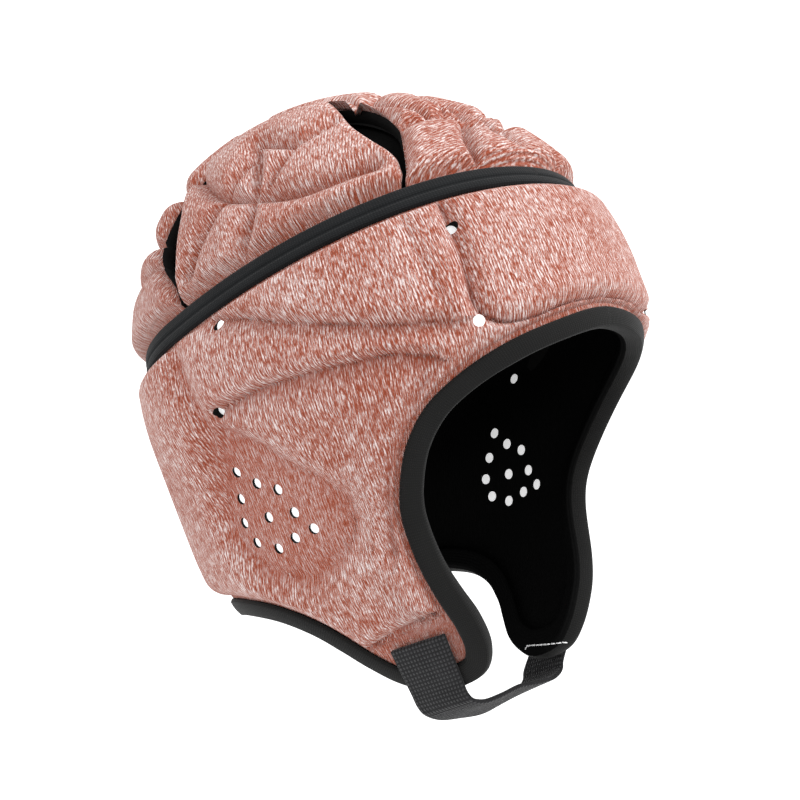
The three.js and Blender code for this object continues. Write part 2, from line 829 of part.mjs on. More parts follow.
function crownCentre() {
  return crownPanel(middlePanelPlan(), fallLines(middleFolds));
}

function crownLining() {
  const face = -formCover - crownLiningGap;
  const reach = seamPlan(0).length();
  const grid = Array.from({ length: liningRings }, (_, ring) => Array.from({ length: liningColumns }, (__, column) => {
    const rim = seamPlan((360 * column) / liningColumns);
    return fromPlan(rim.multiplyScalar((1 - liningMargin / reach) * (1 - ring / liningRings)));
  }));
  const top = fromPlan(new THREE.Vector2(0, 0));
  const points = [];
  const faces = [];
  const sheets = [face, face - liningWall].map((offset, side) => {
    const numbers = layer(grid, offset).map((row) => row.map((point) => points.push(point) - 1));
    const apex = points.push(offForm(top, offset)) - 1;
    addGrid(faces, numbers, true, side === 1);
    numbers.at(-1).forEach((number, index, row) => {
      const next = row[(index + 1) % liningColumns];
      faces.push(...(side === 1 ? [apex, next, number] : [number, next, apex]));
    });
    return numbers;
  });
  addStrip(faces, sheets[1][0], sheets[0][0], true);
  return solidGeometry(points, faces);
}

// Chin strap: one flat band from the outside of the right flap, under the chin, to the left flap

function chinStrap() {
  const offset = foldFoam - formCover + trimGap + bindingWall + strapGap + strapWall / 2;
  const sides = [-1, 0, 1];
  const onFlap = strapLevels.map((level) => {
    const middle = atHeight(strapTurn, level * flapDrop);
    const along = outward(middle).cross(new THREE.Vector3(0, 0, 1)).normalize();
    return sides.map((side) => {
      const place = onForm(middle.clone().addScaledVector(along, (side * strapWidth) / 2));
      return offForm(place, offset);
    });
  });
  const last = onFlap.at(-1);
  const free = strapRows.map(({ across, drop }) => last.map((point, index) => new THREE.Vector3(
    point.x * across,
    lerp(last[1].y + (sides[index] * strapWidth) / 2, point.y, across),
    point.z - strapSag * drop - sides[index] * strapTilt * (1 - across),
  )));
  const half = [...onFlap, ...free];
  const curves = sides.map((_, index) => {
    const line = half.map((row) => row[index]);
    return new THREE.CatmullRomCurve3([...line, ...line.slice(0, -1).reverse().map(mirrored)], false, "centripetal");
  });
  const stations = Array.from({ length: strapPieces + 1 }, (_, step) => {
    const row = curves.map((curve) => curve.getPoint(step / strapPieces));
    const along = curves[1].getTangent(step / strapPieces);
    const normal = row[2].clone().sub(row[0]).cross(along).setLength(strapWall / 2);
    const top = row.map((point) => point.clone().add(normal));
    const bottom = row.map((point) => point.clone().sub(normal)).reverse();
    return [...top, ...bottom];
  });
  return sweptGeometry(stations, false);
}

const pieces = [
  ["side_panel", sidePanel(), looks.knit],
  ["side_lining", sideLining(), looks.lining],
  ["crown_centre", crownCentre(), looks.knit],
  ["crown_side_right", crownSide(1), looks.knit],
  ["crown_side_left", crownSide(-1), looks.knit],
  ["crown_lining", crownLining(), looks.lining],
  ["crown_band", crownBand(), looks.tape],
  ["edge_binding", edgeBinding(), looks.binding],
  ["chin_strap", chinStrap(), looks.webbing],
];

const cap = new THREE.Group();
for (const [name, geometry, look] of pieces) {
  const mesh = new THREE.Mesh(geometry, new THREE.MeshStandardMaterial(look));
  mesh.name = name;
  cap.add(mesh);
}

export default cap;
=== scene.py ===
"""Dressed model of a padded sports head guard: heather knit over foam, linings, tape, binding and chin strap.

Lengths in the tables and sizes are millimetres, in the frame of the solids: +Z up, the face looks along -Y,
the wearer's left is +X. put_mesh turns them into metres.
"""

import math

import bpy
import numpy as np
from mathutils import Matrix, Vector


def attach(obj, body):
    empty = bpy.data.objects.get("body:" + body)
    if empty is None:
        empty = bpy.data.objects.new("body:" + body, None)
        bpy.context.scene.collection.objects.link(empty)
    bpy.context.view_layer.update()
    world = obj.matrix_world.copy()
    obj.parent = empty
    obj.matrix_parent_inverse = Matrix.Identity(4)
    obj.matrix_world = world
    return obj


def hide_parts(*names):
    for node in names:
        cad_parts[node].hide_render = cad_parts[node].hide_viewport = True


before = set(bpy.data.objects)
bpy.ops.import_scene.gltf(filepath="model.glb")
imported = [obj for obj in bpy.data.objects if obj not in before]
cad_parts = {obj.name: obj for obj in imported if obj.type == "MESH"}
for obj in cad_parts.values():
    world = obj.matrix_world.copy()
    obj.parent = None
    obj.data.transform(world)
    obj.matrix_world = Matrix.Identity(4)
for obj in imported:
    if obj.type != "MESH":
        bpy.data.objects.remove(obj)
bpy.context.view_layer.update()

MM = 0.001

# Outer head form
CAP_WIDTH = 188.8
FOREHEAD_REACH = 130.5
NAPE_REACH = 68
BROW_LEVEL = 50
LEVEL_STEP = 35
CROWN_RISE = 113.5
SECTION_POWER = 2.12
DOME_POWER = 1.93

# Seam between the side panel and the crown, and the depth of the flaps
SEAM_LEVEL = 76.4
SEAM_SLOPE = 0.093
FLAP_DROP = 84

# Layers, as thicknesses and clearances
FORM_COVER = 8.6
FOLD_FOAM = 3.2
SIDE_RISE = 6.2
CROWN_RELIEF = 7.4
LINING_WALL = 1.1
LAYER_GAP = 0.35
CROWN_LINING_GAP = 1.6
SEAM_GAP = 0.9

# Trims
TAPE_WIDTH = 10
TAPE_WALL = 1.2
BINDING_WIDTH = 9.6
BINDING_WALL = 1.2
BINDING_SLOT = 1.0
TRIM_GAP = 0.4
LINING_SLOT = 0.9
TRIM_RELIEF = 0.8
PAD_START = 1.6
STRAP_WIDTH = 25
STRAP_WALL = 1.8
STRAP_GAP = 0.5
STRAP_TURN = 53
STRAP_SAG = 6.5
STRAP_TILT = 3

# Air holes: those nearer the front than BROW_TURN stop at the lining
HOLE_WIDTH = 4.2
HOLE_BACK_DEPTH = 1.0
HOLE_LAP = 0.1
CUT_DEPTH = 2.2
DIMPLE = 0.7
DIMPLE_REACH = 3.4
BROW_TURN = 30

# Margins of the pads: the reach and the power of their rounded rise from the trims
EDGE_RISE = 10
SEAM_RISE = 5
SIDE_MARGIN_SHARP = 0.8
CROWN_MARGIN_SHARP = 0.7

# Profiles of the trims: crease of the tape, nose and legs of the binding, side and groove of the strap
TAPE_SWELL = 0.5
TAPE_CREASE = {"depth": 0.45, "place": 0.12, "width": 0.13}
TAPE_LAP = 0.05
BINDING_NOSE = {"depth": 1.9, "angle": 80, "points": 13}
BINDING_LEG = {"from": 0.2, "swell": 0.35, "lip": 0.93, "drop": 0.9}
STRAP_SIDE = {"from": 0.93, "drop": 0.55}
STRAP_GROOVE = {"place": 0.84, "width": 0.03, "depth": 0.2}

# Stitches inside the left flap: places to the side, ahead and up
STITCH_LINE = [
    (24.2, -22.6, -74.2),
    (24.9, -22.4, -73.1),
    (24.2, -25.8, -73.4),
    (23.5, -28.9, -73.8),
    (22.5, -32.3, -74.3),
    (21.4, -36.2, -74.8),
    (20.8, -39.4, -75.1),
    (21.1, -41.9, -75.5),
    (21.8, -43.7, -75.8),
    (23, -45.1, -76.1),
    (23.7, -43.9, -77.3),
]
STITCH_PITCH = 2.6
STITCH_LENGTH = 2.0
STITCH_WIDTH = 0.6

# Mesh density
COLUMNS_PER_ROW = 12
BINDING_BACK_FROM = 18
SIDE_ROWS = 96
INNER_ROWS = 8
SIDE_LINING_ROWS = 40
SEAM_STEP = 4
SEAM_PASSES = 6
TAPE_STATIONS = 480
TAPE_COLUMNS = 25
TAPE_UNDER_STEP = 6
LINING_RINGS = 60
LINING_COLUMNS = 160
STRAP_COLUMNS = 33
SHARP_ANGLE = 50

# Spread of the grids: evenness along the edge, blending round the flaps, pull of the rows and fading of bends
EVEN_SPREAD = 0.6
EDGE_BLEND = 12
FOOT_PULL = 0.08
HEAD_PULL = 0.25
BEND_FADE = 2
LINING_RIM = 0.98

# Level sections of the form, one every LEVEL_STEP down from the brow level, as shares of the named reaches
SECTIONS = [
    {"half": 1, "front": 1, "back": 1},
    {"half": 0.855, "front": 0.983, "back": 1.266},
    {"half": 0.763, "front": 0.649, "back": 1.25},
    {"half": 0.572, "front": 0.656, "back": 1.022},
    {"half": 0.322, "front": 0.575, "back": 0.816},
    {"half": 0.229, "front": 0.53, "back": 0.632},
]

# Lower edge of the side panel: turn in degrees from the front, level as a share of BROW_LEVEL or FLAP_DROP,
# and the turn of the place on the seam above it
EDGE_ROWS = [
    (0, 0.43, 0), (10.3, 0.37, 11), (17.9, 0.304, 19), (25, 0.215, 28), (30.6, 0.106, 37),
    (34.5, -0.03, 46), (36.8, -0.141, 54), (38, -0.237, 61), (37.8, -0.354, 67), (37, -0.473, 72),
    (35, -0.607, 76), (31.8, -0.746, 79), (30, -0.87, 81.5), (32, -0.955, 84), (43, -0.99, 87),
    (55, -0.98, 90), (67.7, -0.937, 94), (77.4, -0.882, 98), (86, -0.785, 103), (92, -0.68, 108),
    (99, -0.575, 114), (110, -0.47, 123), (127, -0.385, 135), (145, -0.35, 149), (163, -0.33, 164),
    (180, -0.33, 180),
]

# Folds of the side panel between foam pads. above and below are the reaches of the rounded pad edges on the
# two sides of a path that runs from the front to the back, sharp the power of their profile.
SIDE_FOLDS = [
    {"name": "forehead_side", "above": 6, "below": 7, "sharp": 0.8, "depth": 1,
     "path": [
         (22.6, 1.698), (22.9, 1.067), (23.2, 0.766), (20.8, 0.629), (15.6, 0.597), (8.4, 0.659), (0, 0.691),
     ]},
    {"name": "temple_strip", "above": 7, "below": 5, "sharp": 1, "depth": 0.3,
     "path": [(30.1, 1.714), (29.2, 1.17), (27.8, 0.738)]},
    {"name": "temple_pad", "above": 15, "below": 5, "sharp": 0.9, "depth": 0.9,
     "path": [(88.1, 1.537), (66.7, 1.329), (56.3, 1.144), (46.9, 0.976), (36.8, 0.82), (27.9, 0.726)]},
    {"name": "horn_pad", "above": 16, "below": 6, "sharp": 0.9, "depth": 1,
     "path": [(80.6, 0.753), (67.3, 0.756), (56, 0.717), (46, 0.667), (37, 0.607), (31.3, 0.511)]},
    {"name": "back_valley", "above": 11, "below": 13, "sharp": 1.4, "depth": 0.8,
     "path": [(89, 1.495), (86.5, 1.11), (85.7, 0.709), (92.3, 0.424), (100.1, 0.119)]},
    {"name": "cheek_side", "above": 9, "below": 9, "sharp": 1.4, "depth": 0.8,
     "path": [(33.4, 0.406), (39.2, 0.163), (44.7, -0.057), (47.5, -0.193), (49.5, -0.345)]},
    {"name": "tab_step", "above": 5, "below": 8, "sharp": 1, "depth": 1,
     "path": [(84.3, -0.721), (60.9, -0.676), (44.4, -0.651), (35.8, -0.647)]},
]

# Parts of the side panel that stay low: rise is a share of SIDE_RISE
SIDE_HOLLOWS = [
    {"name": "ear_bowl", "width": 12, "sharp": 1.1, "rise": 0.12,
     "outline": [
         (82.5, 0.625), (92.1, 0.368), (99.7, 0.069), (99.8, -0.092), (92.5, -0.26), (82.2, -0.329),
         (69.8, -0.326), (59.1, -0.232), (56.4, -0.123), (62.6, 0.059), (68.8, 0.219), (75.1, 0.427),
     ]},
    {"name": "flap_tab", "width": 6, "sharp": 1, "rise": 0.1,
     "outline": [
         (84.4, -0.742), (60.9, -0.697), (44.4, -0.672), (30.9, -0.666), (19.2, -1.294), (74.2, -1.294),
     ]},
]

# Air holes as turn and level
HOLES = [
    (88.6, 0.337), (83.4, 0.212), (77.1, 0.11), (74.8, -0.052), (70.7, -0.15), (78.4, -0.154), (86.5, -0.167),
    (94.3, -0.102),
    (95.7, 0.003), (92.3, 0.166), (84.7, -0.023), (80.4, 0.74), (72.1, 1.352), (23.6, 0.658), (22.5, 1.374),
]
THROUGH_HOLES = [hole for hole in HOLES if hole[0] > BROW_TURN]

# Vents between the crown panels: turn from the front and fall from the top, in degrees
FRONT_SEAM_TURN = 26.5
BACK_SEAM_TURN = 83
FRONT_VENT = {
    "foot": (25.2, 65.5),
    "panel": [(24.4, 60.5), (25.8, 55), (26.9, 48.5), (26.2, 42), (24.3, 36.4)],
    "head": (21, 30),
    "middle": [(23.2, 60.3), (20.8, 54.7), (18.6, 49.4), (17.6, 43.5), (17.8, 36)],
}
BACK_VENT = {
    "foot": (84.8, 67.6),
    "panel": [(84.9, 63.5), (85.3, 58.5), (85.6, 53.5), (87.3, 48)],
    "head": (90.5, 40),
    "middle": [(87.6, 64.6), (93.2, 59.3), (97.5, 54), (99, 48.5), (96.5, 43)],
}
TOP_SEAM = [(38, 26.5), (58, 25), (77, 30)]
CROWN_DIVISIONS = {"seam": 8, "vent_middle": 60, "vent_panel": 92, "top": 92, "middle": 150}

CROWN_SIDE_FOLDS = [
    {"name": "arch", "above": 12, "below": 9, "sharp": 0.8, "depth": 1,
     "path": [(86.5, 36.3), (73.5, 46.3), (66.4, 52.3), (56.9, 57.2), (44.8, 61.9), (29.7, 62.2)]},
    {"name": "branch_back", "above": 10, "below": 10, "sharp": 0.8, "depth": 1,
     "path": [(55, 39.9), (55.5, 44.2), (65.1, 53.5), (75.2, 63.1), (78.1, 67.7)]},
    {"name": "branch_mid", "above": 10, "below": 10, "sharp": 0.9, "depth": 1,
     "path": [(53.8, 41), (54.9, 53.6), (58.8, 64.3), (62.8, 72.2)]},
    {"name": "branch_front", "above": 11, "below": 10, "sharp": 0.8, "depth": 1,
     "path": [(53.1, 38.5), (45.9, 44.2), (41.3, 46.9), (34.2, 45.3), (30.1, 43.5)]},
    {"name": "branch_low", "above": 9, "below": 9, "sharp": 0.9, "depth": 1,
     "path": [(41.3, 46.9), (48.2, 52.3), (51.4, 56)]},
]
CROWN_MIDDLE_FOLDS = [
    {"name": "brow_row", "above": 8, "below": 8, "sharp": 0.8, "depth": 1,
     "path": [(18.4, 51.3), (6.2, 54.1), (0, 62.5)]},
    {"name": "second_row", "above": 8, "below": 8, "sharp": 0.8, "depth": 1,
     "path": [(19, 53), (10, 50.5), (0, 47)]},
    {"name": "top_row", "above": 9, "below": 9, "sharp": 0.8, "depth": 1,
     "path": [(26, 37), (17, 36), (8, 33), (0, 32)]},
    {"name": "brow_post", "above": 7, "below": 7, "sharp": 0.8, "depth": 1,
     "path": [(5.5, 54), (10.3, 60.9), (12.5, 70.4)]},
    {"name": "row_post", "above": 8, "below": 8, "sharp": 0.8, "depth": 1,
     "path": [(4.1, 52.3), (3.6, 47.3), (3.1, 42.3)]},
    {"name": "mid_line", "above": 8, "below": 8, "sharp": 0.8, "depth": 1,
     "path": [(0, 8), (0, 30), (0, 50), (0, 62)]},
    {"name": "dome_post", "above": 8, "below": 8, "sharp": 0.8, "depth": 1,
     "path": [(11, 50), (15, 43), (16, 36)]},
    {"name": "top_cross", "above": 10, "below": 10, "sharp": 0.8, "depth": 1,
     "path": [(58, 31), (60, 17), (70, 8), (0, 0)]},
    {"name": "crown_back", "above": 10, "below": 10, "sharp": 0.8, "depth": 1,
     "path": [(84, 45), (115, 34), (150, 26), (180, 24)]},
    {"name": "ear_row", "above": 10, "below": 10, "sharp": 0.8, "depth": 1,
     "path": [(95, 53), (118, 50), (150, 48), (180, 47)]},
    {"name": "nape_row", "above": 10, "below": 10, "sharp": 0.8, "depth": 1,
     "path": [(94.2, 59.3), (116, 62), (148, 60), (180, 60)]},
    {"name": "back_post", "above": 9, "below": 9, "sharp": 0.8, "depth": 1,
     "path": [(150, 26), (148, 48), (146, 72)]},
]
CROWN_MARGIN = {"edge": 0.6, "width": 7, "sharp": 0.8}
FOLD_PIECES = 24

# Chin strap on the right half: levels on the flap, then its free stretch as shares of half span and sag
STRAP_LEVELS = [-0.738, -0.8, -0.865, -0.93, -1.0]
STRAP_ROWS = [(0.94, 0.42), (0.75, 0.82), (0.4, 0.97), (0, 1)]
STRAP_STATIONS = 220

# Camera: turn, pitch and roll of the view in degrees, its distance and shift, and its lens
CAMERA = {
    "turn": 46.491, "pitch": -11.245, "roll": -17.389,
    "distance": 559.148, "right": 3.097, "up": 39.736,
    "lens": 61.5, "sensor": 36,
}

# Area lights, in metres along the camera's axes from the middle of the cap
LIGHTS = [
    {"name": "key", "side": 0.6, "height": 0.8, "ahead": 0.35, "size": 0.45, "power": 7.5},
    {"name": "fill", "side": -0.8, "height": 0.1, "ahead": 0.6, "size": 0.8, "power": 1.0},
]
WORLD_STRENGTH = 1.5
FLOOR = {"half_side": 1.2, "level": -0.5, "colour": (0.85, 0.85, 0.85, 1)}


def unit(vectors):
    return vectors / np.maximum(np.linalg.norm(vectors, axis=-1, keepdims=True), 1e-9)


# Head form


def section_at(z):
    """Half width, front and back reach of the form at each height, a Catmull-Rom curve through SECTIONS."""
    place = np.clip((BROW_LEVEL - z) / LEVEL_STEP, 0, len(SECTIONS) - 1.001)
    row = np.floor(place).astype(int)
    t = place - row
    reaches = []
    for key, size in (("half", CAP_WIDTH / 2), ("front", FOREHEAD_REACH), ("back", NAPE_REACH)):
        shares = [section[key] for section in SECTIONS]
        table = np.array([shares[1], *shares, 2 * shares[-1] - shares[-2]])
        p, q, r, s = (table[row + step] for step in range(4))
        bend = 2 * p - 5 * q + 4 * r - s + (3 * (q - r) + s - p) * t
        reaches.append(size * (q + 0.5 * t * (r - p + t * bend)))
    return reaches


def form_size(points):
    """Size of the form that passes through each point, 1 on the form itself."""
    x, y, z = np.moveaxis(points, -1, 0)
    half, front, back = section_at(z)
    depth = np.where(y < 0, front, back)
    flat = (np.abs(x / half) ** SECTION_POWER + np.abs(y / depth) ** SECTION_POWER) ** (1 / SECTION_POWER)
    rise = np.maximum(z - BROW_LEVEL, 0) / CROWN_RISE
    return (flat**DOME_POWER + rise**DOME_POWER) ** (1 / DOME_POWER)


def on_form(points):
    size = form_size(points)[..., None]
    base = np.minimum(points[..., 2:], BROW_LEVEL)
    return np.concatenate([points[..., :2] / size, base + (points[..., 2:] - base) / size], axis=-1)


def outward(points, step=0.2):
    slopes = [form_size(points + shift) - form_size(points - shift) for shift in np.eye(3) * step]
    return unit(np.stack(slopes, axis=-1))


def off_form(points, offset):
    return points + outward(points) * np.asarray(offset)[..., None]


def at_height(turn, z):
    turn, z = np.broadcast_arrays(np.radians(np.asarray(turn, float)), np.asarray(z, float))
    ray = np.stack([-np.sin(turn), -np.cos(turn), np.minimum(z, BROW_LEVEL)], axis=-1)
    rise = np.clip((z - BROW_LEVEL) / CROWN_RISE, 0, 1)
    reach = (1 - rise**DOME_POWER) ** (1 / DOME_POWER) / form_size(ray)
    return np.stack([ray[..., 0] * reach, ray[..., 1] * reach, z], axis=-1)


def at_level(pairs):
    turn, level = np.moveaxis(np.asarray(pairs, float), -1, 0)
    return at_height(turn, level * np.where(level > 0, BROW_LEVEL, FLAP_DROP))


def at_fall(pairs):
    turn, fall = np.moveaxis(np.asarray(pairs, float), -1, 0)
    return at_height(turn, BROW_LEVEL + CROWN_RISE * np.cos(np.radians(fall)) ** (2 / DOME_POWER))


def seam_point(turn):
    point = at_height(turn, SEAM_LEVEL)
    for _ in range(SEAM_PASSES):
        point = at_height(turn, SEAM_LEVEL - SEAM_SLOPE * point[..., 1])
    return point


def seam_across(turn, distance):
    point = seam_point(turn)
    return at_height(turn, point[..., 2] + distance * np.sqrt(1 - outward(point)[..., 2] ** 2))


# Plan of the dome: degrees from the top, x to the wearer's right and y to the front


def to_plan(pairs):
    turn, fall = np.moveaxis(np.asarray(pairs, float), -1, 0)
    return np.stack([np.sin(np.radians(turn)), np.cos(np.radians(turn))], axis=-1) * fall[..., None]


def from_plan(plan):
    turn = np.degrees(np.arctan2(plan[..., 0], plan[..., 1]))
    return at_fall(np.stack([turn, np.linalg.norm(plan, axis=-1)], axis=-1))


def seam_plan(turn, distance=0.0):
    turn = np.asarray(turn, float)
    rise = (seam_across(turn, distance)[..., 2] - BROW_LEVEL) / CROWN_RISE
    return to_plan(np.stack([turn, np.degrees(np.arccos(rise ** (DOME_POWER / 2)))], axis=-1))


# Lines and distances


def curve_points(points, shares, closed=False, power=0.5):
    """Centripetal Catmull-Rom curve through points, at shares from 0 to 1 of its table of rows."""
    points = np.asarray(points, float)
    count = len(points) if closed else len(points) - 1
    place = np.clip(np.asarray(shares, float), 0, 1) * count
    row = np.minimum(np.floor(place).astype(int), count - 1)
    weight = (place - row)[:, None]
    if closed:
        p0, p1, p2, p3 = (points[(row + step) % len(points)] for step in (-1, 0, 1, 2))
    else:
        ends = np.vstack([2 * points[0] - points[1], points, 2 * points[-1] - points[-2]])
        p0, p1, p2, p3 = (ends[row + step] for step in range(4))
    d0, d1, d2 = (
        np.maximum(np.linalg.norm(after - before, axis=1, keepdims=True) ** power, 1e-4)
        for before, after in ((p0, p1), (p1, p2), (p2, p3))
    )
    m1 = ((p1 - p0) / d0 - (p2 - p0) / (d0 + d1) + (p2 - p1) / d1) * d1
    m2 = ((p2 - p1) / d1 - (p3 - p1) / (d1 + d2) + (p3 - p2) / d2) * d1
    cubic = 2 * p1 - 2 * p2 + m1 + m2
    square = -3 * p1 + 3 * p2 - 2 * m1 - m2
    return ((cubic * weight + square) * weight + m1) * weight + p1


def smooth_line(points, pieces=FOLD_PIECES):
    return on_form(curve_points(points, np.linspace(0, 1, pieces + 1)))


def nearest_on(line, points):
    """Distance from each point to a line, and its side: above 0 on the upper side of a line to the back."""
    least = np.full(points.shape[:-1], np.inf)
    side = np.zeros(points.shape[:-1])
    normals = outward(points)
    for start, end in zip(line[:-1], line[1:]):
        along = end - start
        share = np.clip((points - start) @ along / max(along @ along, 1e-9), 0, 1)
        away = points - start - share[..., None] * along
        distance = np.linalg.norm(away, axis=-1)
        closer = distance < least
        least = np.where(closer, distance, least)
        side = np.where(closer, np.sum(away * np.cross(along, normals), axis=-1), side)
    return least, side


def distance_to(line, points):
    least = np.full(points.shape[:-1], np.inf)
    for start, end in zip(line[:-1], line[1:]):
        along = end - start
        share = np.clip((points - start) @ along / max(along @ along, 1e-9), 0, 1)
        least = np.minimum(least, np.linalg.norm(points - start - share[..., None] * along, axis=-1))
    return least


def pad_edge(distance, width, sharp):
    return (1 - (1 - np.clip(distance / width, 0, 1)) ** 2) ** sharp


def fold_height(points, folds, place):
    """Height from 0 in a fold to 1 on the pads. Both halves share the folds of the wearer's right."""
    right = np.concatenate([-np.abs(points[..., :1]), points[..., 1:]], axis=-1)
    height = np.ones(points.shape[:-1])
    for fold in folds:
        distance, side = nearest_on(smooth_line(place(fold["path"])), right)
        width = np.where(side > 0, fold["above"], fold["below"])
        height = np.minimum(height, 1 - fold["depth"] * (1 - pad_edge(distance, width, fold["sharp"])))
    return height


def inside_outline(turn, level, outline):
    inside = np.zeros(turn.shape, bool)
    for (x, y), (px, py) in zip(outline, [outline[-1], *outline[:-1]]):
        crosses = ((y > level) != (py > level)) & (turn < (px - x) * (level - y) / (py - y or 1e-9) + x)
        inside ^= crosses
    return inside


# Side panel and what follows its edge

half_edge = at_level([row[:2] for row in EDGE_ROWS])
mirror = np.array([-1, 1, 1])
whole_edge = np.vstack([half_edge, half_edge[1:-1][::-1] * mirror])
edge_count = len(whole_edge) * COLUMNS_PER_ROW
fine_line = curve_points(whole_edge, np.linspace(0, 1, edge_count * 2 + 1), closed=True)
fine_length = np.concatenate([[0], np.cumsum(np.linalg.norm(np.diff(fine_line, axis=0), axis=1))])
even_shares = np.arange(edge_count) / edge_count
edge_shares = even_shares + EVEN_SPREAD * (
    np.interp(even_shares * fine_length[-1], fine_length, np.linspace(0, 1, edge_count * 2 + 1)) - even_shares
)
edge_places = on_form(curve_points(whole_edge, edge_shares, closed=True))
edge_line = np.vstack([edge_places, edge_places[:1]])


def edge_inward():
    """Direction from the edge into the panel, averaged over neighbours to fan evenly round the flaps."""
    normals = outward(edge_places)
    along = np.roll(edge_places, -1, axis=0) - np.roll(edge_places, 1, axis=0)
    across = unit(np.cross(along, normals))
    total = sum(np.roll(across, shift, axis=0) for shift in range(-EDGE_BLEND, EDGE_BLEND + 1))
    return unit(total - normals * np.sum(total * normals, axis=1, keepdims=True))


inward = edge_inward()
row_place = np.minimum(edge_shares, 1 - edge_shares) * len(whole_edge)
seam_turns = np.interp(row_place, range(len(EDGE_ROWS)), [row[2] for row in EDGE_ROWS])
seam_turns[edge_count // 2 + 1:] *= -1
seam_line = seam_point(np.arange(0, 360 + SEAM_STEP, SEAM_STEP))


def from_edge(distance):
    return on_form(edge_places + inward * distance)


def side_grid(rows):
    """Grid of form points, one row round the whole cap for each step from the binding up to the seam."""
    foot = from_edge(BINDING_WIDTH + TRIM_RELIEF)
    head = seam_across(seam_turns, -TAPE_WIDTH / 2 - TRIM_RELIEF)
    reach = np.linalg.norm(head - foot, axis=1, keepdims=True)
    second = foot + inward * reach * FOOT_PULL
    third = head - reach * HEAD_PULL * [0, 0, 1]
    grid = [from_edge(BINDING_WALL + BINDING_SLOT)]
    for t in np.linspace(0, 1, rows - 1):
        terms = (1 - t) ** 3 * foot, 3 * t * (1 - t) ** 2 * second, 3 * t**2 * (1 - t) * third, t**3 * head
        grid.append(on_form(sum(terms)))
    grid.append(seam_across(seam_turns, -SEAM_GAP / 2))
    return np.array(grid)


def side_height(points):
    right = np.concatenate([-np.abs(points[..., :1]), points[..., 1:]], axis=-1)
    turn = np.degrees(np.arctan2(-right[..., 0], -right[..., 1]))
    level = right[..., 2] / np.where(right[..., 2] > 0, BROW_LEVEL, FLAP_DROP)
    height = fold_height(points, SIDE_FOLDS, at_level)
    factor = np.ones(height.shape)
    for hollow in SIDE_HOLLOWS:
        outline = [*hollow["outline"], hollow["outline"][0]]
        rim = distance_to(smooth_line(at_level(outline), 2 * FOLD_PIECES), right)
        height = np.minimum(height, pad_edge(rim, hollow["width"], hollow["sharp"]))
        factor = np.where(inside_outline(turn, level, hollow["outline"]), hollow["rise"], factor)
    right_edge = edge_line[: edge_count // 2 + 1]
    margin = pad_edge(distance_to(right_edge, right) - BINDING_WIDTH - PAD_START, EDGE_RISE, SIDE_MARGIN_SHARP)
    above = distance_to(seam_line, right) - TAPE_WIDTH / 2 - PAD_START
    top = pad_edge(above, SEAM_RISE, SIDE_MARGIN_SHARP)
    return np.minimum(np.minimum(height, margin), top) * factor


# Meshes


def grid_faces(numbers, closed):
    ahead = np.roll(numbers, -1, axis=1) if closed else numbers[:, 1:]
    here = numbers if closed else numbers[:, :-1]
    quads = np.stack([here[:-1], ahead[:-1], ahead[1:], here[1:]], axis=-1)
    return quads.reshape(-1, 4)


def grid_border(numbers):
    return np.concatenate([numbers[0], numbers[1:, -1], numbers[-1, -2::-1], numbers[-2:0:-1, 0]])


def put_mesh(name, points, faces, material, cloth=None, relief=None, smooth=True):
    """A mesh object in metres. cloth is each point's place on the flat cloth and relief its height there."""
    mesh = bpy.data.meshes.new(name)
    mesh.from_pydata((np.asarray(points) * MM).tolist(), [], [list(map(int, face)) for face in faces])
    mesh.validate()
    if cloth is not None:
        corners = np.zeros(len(mesh.loops), int)
        mesh.loops.foreach_get("vertex_index", corners)
        layer = mesh.uv_layers.new(name="cloth")
        layer.data.foreach_set("uv", np.asarray(cloth, np.float32)[corners].ravel())
    if relief is not None:
        attribute = mesh.attributes.new("relief", "FLOAT", "POINT")
        attribute.data.foreach_set("value", np.asarray(relief, np.float32).ravel())
    mesh.polygons.foreach_set("use_smooth", np.full(len(mesh.polygons), smooth))
    mesh.materials.append(material)
    made = bpy.data.objects.new(name, mesh)
    bpy.context.scene.collection.objects.link(made)
    return made


def turned_out(points, faces):
    """Faces with their corners in the order that makes a closed mesh face outwards."""
    corners = np.asarray(points)[np.asarray(faces)[:, :3]]
    volume = np.sum(corners[:, 0] * np.cross(corners[:, 1], corners[:, 2]))
    return faces if volume > 0 else faces[:, ::-1]


def wall_mesh(name, outer, inner, closed, material, cloth, relief, back=None):
    """A closed wall between two grids with the same number of rim points; back covers all but its face."""
    points = np.vstack([outer.reshape(-1, 3), inner.reshape(-1, 3)])
    outside = np.arange(outer[..., 0].size).reshape(outer.shape[:2])
    inside = outside.size + np.arange(inner[..., 0].size).reshape(inner.shape[:2])
    faces = [grid_faces(outside, closed), grid_faces(inside, closed)[:, ::-1]]
    if closed:
        faces.append(grid_faces(np.stack([outside[-1], inside[-1]]), True))
        faces.append(grid_faces(np.stack([inside[0], outside[0]]), True))
    else:
        faces.append(grid_faces(np.stack([grid_border(inside), grid_border(outside)]), True))
    faces = turned_out(points, np.vstack(faces))
    spare = len(points) - len(cloth)
    cloth = np.vstack([cloth, np.zeros((spare, 2))])
    relief = np.concatenate([relief, np.ones(spare)])
    made = put_mesh(name, points, faces, material, cloth, relief)
    if back:
        made.data.materials.append(back)
        behind = np.arange(len(faces)) >= len(grid_faces(outside, closed))
        made.data.polygons.foreach_set("material_index", behind.astype(np.int32))
    return made


